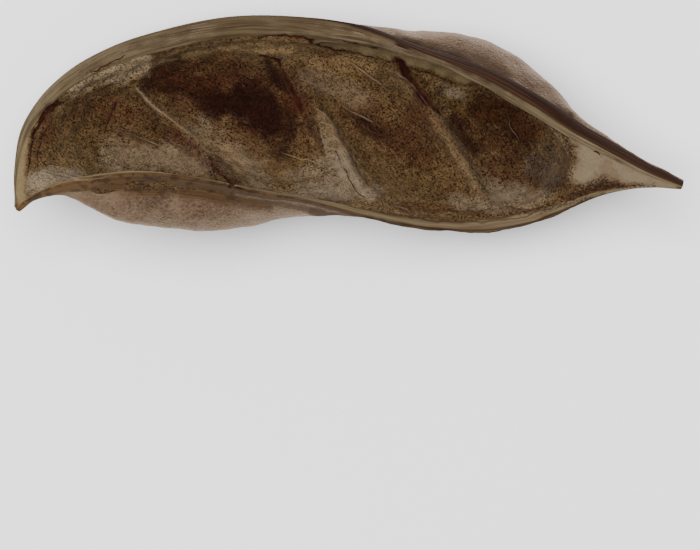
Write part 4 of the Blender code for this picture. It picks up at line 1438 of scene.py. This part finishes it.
# %% Crumbs scattered on the mealy patches
graph, given, end = new_tree("crumbs", {
    "Crowd": "Float", "Smallest": "Float", "Largest": "Float", "Seed": "Int", "Finish": "Material",
})
crowd = field(graph, "crowd") * given["Crowd"]
scatter = {"Mesh": given["Geometry"], "Density": crowd, "Seed": given["Seed"]}
spread = graph.node("GeometryNodeDistributePointsOnFaces", None, scatter)
sitting = Socket(graph.tree, spread.output.node.outputs["Rotation"])
turns = {"X": between(graph, -0.3, 0.3, 11), "Z": between(graph, 0.0, 6.28, 12)}
turn = graph.node("ShaderNodeCombineXYZ", None, turns)
turn = graph.node("FunctionNodeEulerToRotation", None, {0: turn})
sitting = graph.node("FunctionNodeRotateRotation", {"rotation_space": "LOCAL"}, {0: sitting, 1: turn})
lump = graph.node("GeometryNodeMeshIcoSphere", None, {"Radius": 1.0, "Subdivisions": 1})
size = between(graph, given["Smallest"], given["Largest"], 13)
squashed = {"X": size * between(graph, 0.8, 1.7, 14), "Y": size, "Z": size * 0.5}
shape = graph.node("ShaderNodeCombineXYZ", None, squashed)
placed = {"Points": spread, "Instance": lump, "Rotation": sitting, "Scale": shape}
placed = graph.node("GeometryNodeInstanceOnPoints", None, placed)
set_down(graph, end, placed, given["Finish"])

crumbly = stains["mealy"] + stains["web"] + stains["ash"] * 0.35 + stains["tan"] * 0.3
crumbly = crumbly + 0.04 - stains["plum"]
crumb_crowd = np.clip(crumbly, 0, 1) * (1 - stains["cream"]) * (1 - stains["khaki"])
pith_crumbs = grown("pith_crumbs", part_of_lining({"crowd": crumb_crowd}), graph, {
    "Crowd": 2.6e6, "Smallest": 0.00005, "Largest": 0.00014, "Seed": 17, "Finish": pith_finish,
})

# %% [markdown]
# ## Threads along the rim and loose bits
# The cut seam shows long threads that run with it, and a few loose ends lie in the hollows: a curled grey
# fibre, a short twig, the pale edge of the torn pocket. All follow paths laid on the surface, so one tree
# makes them: it turns edges into curves, thins them at the ends and gives them a round section.

# %% Threads that follow a path
PATH_STEP, NEAREST, UPPER, DRIFT_ACROSS, DRIFT_PACE = 0.5, 0.05, 0.15, 0.6, 9.0


def laid_on(line, rise):
    """Drops a line in plan on the surface: points every 0.5 mm or so, a little above it."""
    line = np.array(line)
    steps = np.concatenate([[0], np.cumsum(np.linalg.norm(np.diff(line[:, :2], axis=0), axis=1))])
    places = np.linspace(0, steps[-1], max(4, int(steps[-1] / PATH_STEP)))
    plan = np.stack([np.interp(places, steps, line[:, axis]) for axis in (0, 1)], axis=-1)
    upper = (facing[..., 2] > UPPER).ravel()
    cloud = points.reshape(-1, 3)[upper]
    away = np.linalg.norm(cloud[None, :, :2] - plan[:, None], axis=-1)
    weight = 1 / (away + NEAREST) ** 3
    height = (weight * cloud[None, :, 2]).sum(1) / weight.sum(1)
    return np.concatenate([plan, (height + rise)[:, None]], axis=-1)


def rim_thread(row, first, last):
    """A thread along the thick seam's face, from rib to rib in one row of points."""
    ribs = np.arange(first, last)
    shift = DRIFT_ACROSS * np.sin(ribs / DRIFT_PACE + row)
    low = np.floor(row + shift).astype(int)
    share = (row + shift - low)[:, None]
    return points[ribs, low] * (1 - share) + points[ribs, low + 1] * share


def path_host(name, lines):
    """A mesh of edges, with each line's thickness as a field."""
    spots, edges, thick = [], [], []
    for thickness, line in lines:
        start = len(spots)
        spots += (line * MM).tolist()
        edges += [(start + number, start + number + 1) for number in range(len(line) - 1)]
        thick += [thickness * MM] * len(line)
    mesh = bpy.data.meshes.new(name)
    mesh.from_pydata(spots, edges, [])
    store(mesh, "thick", np.array(thick))
    return mesh


graph, given, end = new_tree("threads", {"Waver": "Float", "Finish": "Material"})
curve = graph.node("GeometryNodeMeshToCurve", None, {"Mesh": given["Geometry"]})
place = graph.node("GeometryNodeInputPosition")
drift = {"Vector": place, "Scale": 400.0, "Detail": 1.0}
drift = graph.node("ShaderNodeTexNoise", {"noise_dimensions": "3D"}, drift, out=1)
drift = graph.node("ShaderNodeVectorMath", {"operation": "SUBTRACT"}, {0: drift, 1: (0.5, 0.5, 0.5)})
drift = graph.node("ShaderNodeVectorMath", {"operation": "SCALE"}, {0: drift, "Scale": given["Waver"]})
curve = graph.node("GeometryNodeSetPosition", None, {"Geometry": curve, "Offset": drift})
along = graph.node("GeometryNodeSplineParameter")
arch = along * (1.0 - along) * 4.0
taper = arch.reckon("POWER", arch, 0.4)
ring = graph.node("GeometryNodeCurvePrimitiveCircle", None, {"Resolution": 6, "Radius": 1.0})
thickness = field(graph, "thick") * (taper * 0.85 + 0.15)
parts = {"Curve": curve, "Profile Curve": ring, "Scale": thickness, "Fill Caps": True}
rope = graph.node("GeometryNodeCurveToMesh", None, parts)
set_down(graph, end, rope, given["Finish"])

RIM_THREADS, RIBS_LEFT_FREE = 46, 10
face_rows = np.where(thick_face[RIBS // 2] > 0.5)[0]
chance = np.random.default_rng(29)
rim_paths = []
for _ in range(RIM_THREADS):
    row = chance.uniform(face_rows[1] + 1, face_rows[-1] - 2)
    first = int(chance.uniform(0.06, 0.86) * RIBS)
    last = min(first + int(chance.uniform(0.05, 0.22) * RIBS), RIBS - RIBS_LEFT_FREE)
    rim_paths.append((chance.uniform(0.05, 0.11), rim_thread(row, first, last)))
rim_host = path_host("rim_paths", rim_paths)
rim_threads = grown("rim_threads", rim_host, graph, {"Waver": 0.0001, "Finish": fibre_finish})

LOOSE_BITS = (
    (0.15, 0.25, (
        (36.4, 3.8), (36.5, 2.4), (37.1, 1), (37.1, -0.4), (38, -1.8), (38.9, -2.9), (39.4, -4.1),
    )),
    (0.15, 0.3, ((18.7, 8.2), (20, 8.7), (21.4, 9.3), (22.8, 10))),
    (0.1, 0.2, ((0.3, 14.6), (2.6, 13.1), (5.1, 11.2), (7.4, 9.3), (8.8, 7.9))),
    (0.1, 0.25, ((-1.3, 3.8), (0.7, 2.6), (3.5, 1.3), (5.8, 0.2), (7.4, -0.8))),
    (0.12, 0.3, ((-32.6, -8.4), (-31.7, -10), (-31.2, -11.6), (-30.5, -13.5))),
    (0.1, 0.3, ((-32.6, -8.4), (-30.8, -8.7), (-29.4, -9.8), (-28.2, -11.6))),
    (0.09, 0.2, ((-53.1, -1.6), (-49.8, -2.7), (-46.6, -3.9), (-43.4, -5.3))),
    (0.1, 0.2, ((-70.1, -11.2), (-66.4, -12), (-62.3, -13.1), (-57.7, -12.8), (-54, -11.9))),
    (0.09, 0.2, ((11.8, 11.3), (13.6, 9.7), (15.4, 7.9), (17.3, 5.8), (19.4, 2.6))),
    (0.1, 0.3, ((9.5, -18.3), (11.5, -19.2), (13.8, -20.1))),
)
loose_paths = [(thickness, laid_on(line, rise)) for thickness, rise, line in LOOSE_BITS]
loose_host = path_host("loose_paths", loose_paths)
loose_ends = grown("loose_ends", loose_host, graph, {"Waver": 0.0005, "Finish": loose_finish})

# %% [markdown]
# ## Hand the pieces to the frame
# Each finished piece rides on the part's only body and stands for the imported valve, which is hidden.

for piece in (valve, lining_fibres, pith_crumbs, rim_threads, loose_ends):
    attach(piece, "root")
    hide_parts("pod_valve")

# %% [markdown]
# ## Floor, light and camera
# The pod lies on a plain pale floor. One large soft lamp stands to the upper left, as the shading of the
# hollows shows, and a pale sky fills the shadows. The camera looks straight down from far away through a
# long lens, because the outlines show no perspective.

# %% Set the stage
PICTURE_WIDE, PICTURE_HIGH, PIXELS_A_MM = 700, 550, 4.35
PART_IN_PICTURE = (348.8, 123.35)
LENS, SENSOR, SIGHT = 1000.0, 36.0, 30.0
MIDDLE_HEIGHT, FLOOR_REACH = 0.025, 6.0
KEY_POWER, KEY_SIZE, KEY_PLACE = 56.0, 1.2, (-0.28, 0.22, 1.6)
SKY_COLOUR, SKY_STRENGTH = (1.0, 0.985, 0.955), 0.8


def stage_floor():
    mesh = bpy.data.meshes.new("floor")
    corners = ((-1, -1), (1, -1), (1, 1), (-1, 1))
    corners = [(side * FLOOR_REACH, way * FLOOR_REACH, 0) for side, way in corners]
    mesh.from_pydata(corners, [], [(0, 1, 2, 3)])
    material, graph, shader = new_material("pale_paper")
    finish(graph, shader, {}, {"Base Color": shade(0.86, 0.865, 0.88), "Roughness": 0.9})
    mesh.materials.append(material)
    floor = bpy.data.objects.new("floor", mesh)
    bpy.context.scene.collection.objects.link(floor)
    return floor


def soft_lamp(name, power, size, place):
    """A round lamp that shines on the middle of the part."""
    data = bpy.data.lights.new(name, "AREA")
    data.shape = "DISK"
    data.size = size
    data.energy = power
    lamp = bpy.data.objects.new(name, data)
    lamp.location = place
    lamp.rotation_mode = "QUATERNION"
    lamp.rotation_quaternion = (-Vector(place)).to_track_quat("-Z", "Y")
    bpy.context.scene.collection.objects.link(lamp)


floor = stage_floor()
soft_lamp("key", KEY_POWER, KEY_SIZE, KEY_PLACE)
sky = bpy.data.worlds.new("pale_sky")
bpy.context.scene.world = sky
sky.use_nodes = True
background = sky.node_tree.nodes["Background"]
background.inputs["Color"].default_value = shade(*SKY_COLOUR)
background.inputs["Strength"].default_value = SKY_STRENGTH

camera_data = bpy.data.cameras.new("camera")
camera_data.lens = LENS
camera_data.sensor_width = SENSOR
camera_data.clip_end = SIGHT
camera = bpy.data.objects.new("camera", camera_data)
middle_x = (PICTURE_WIDE / 2 - PART_IN_PICTURE[0]) / PIXELS_A_MM * MM
middle_y = (PART_IN_PICTURE[1] - PICTURE_HIGH / 2) / PIXELS_A_MM * MM
distance = PICTURE_WIDE / PIXELS_A_MM * MM * LENS / SENSOR
camera.location = (middle_x, middle_y, MIDDLE_HEIGHT + distance)
bpy.context.scene.collection.objects.link(camera)
bpy.context.scene.camera = camera
print("camera height in m:", round(camera.location[2], 3))

# %% [markdown]
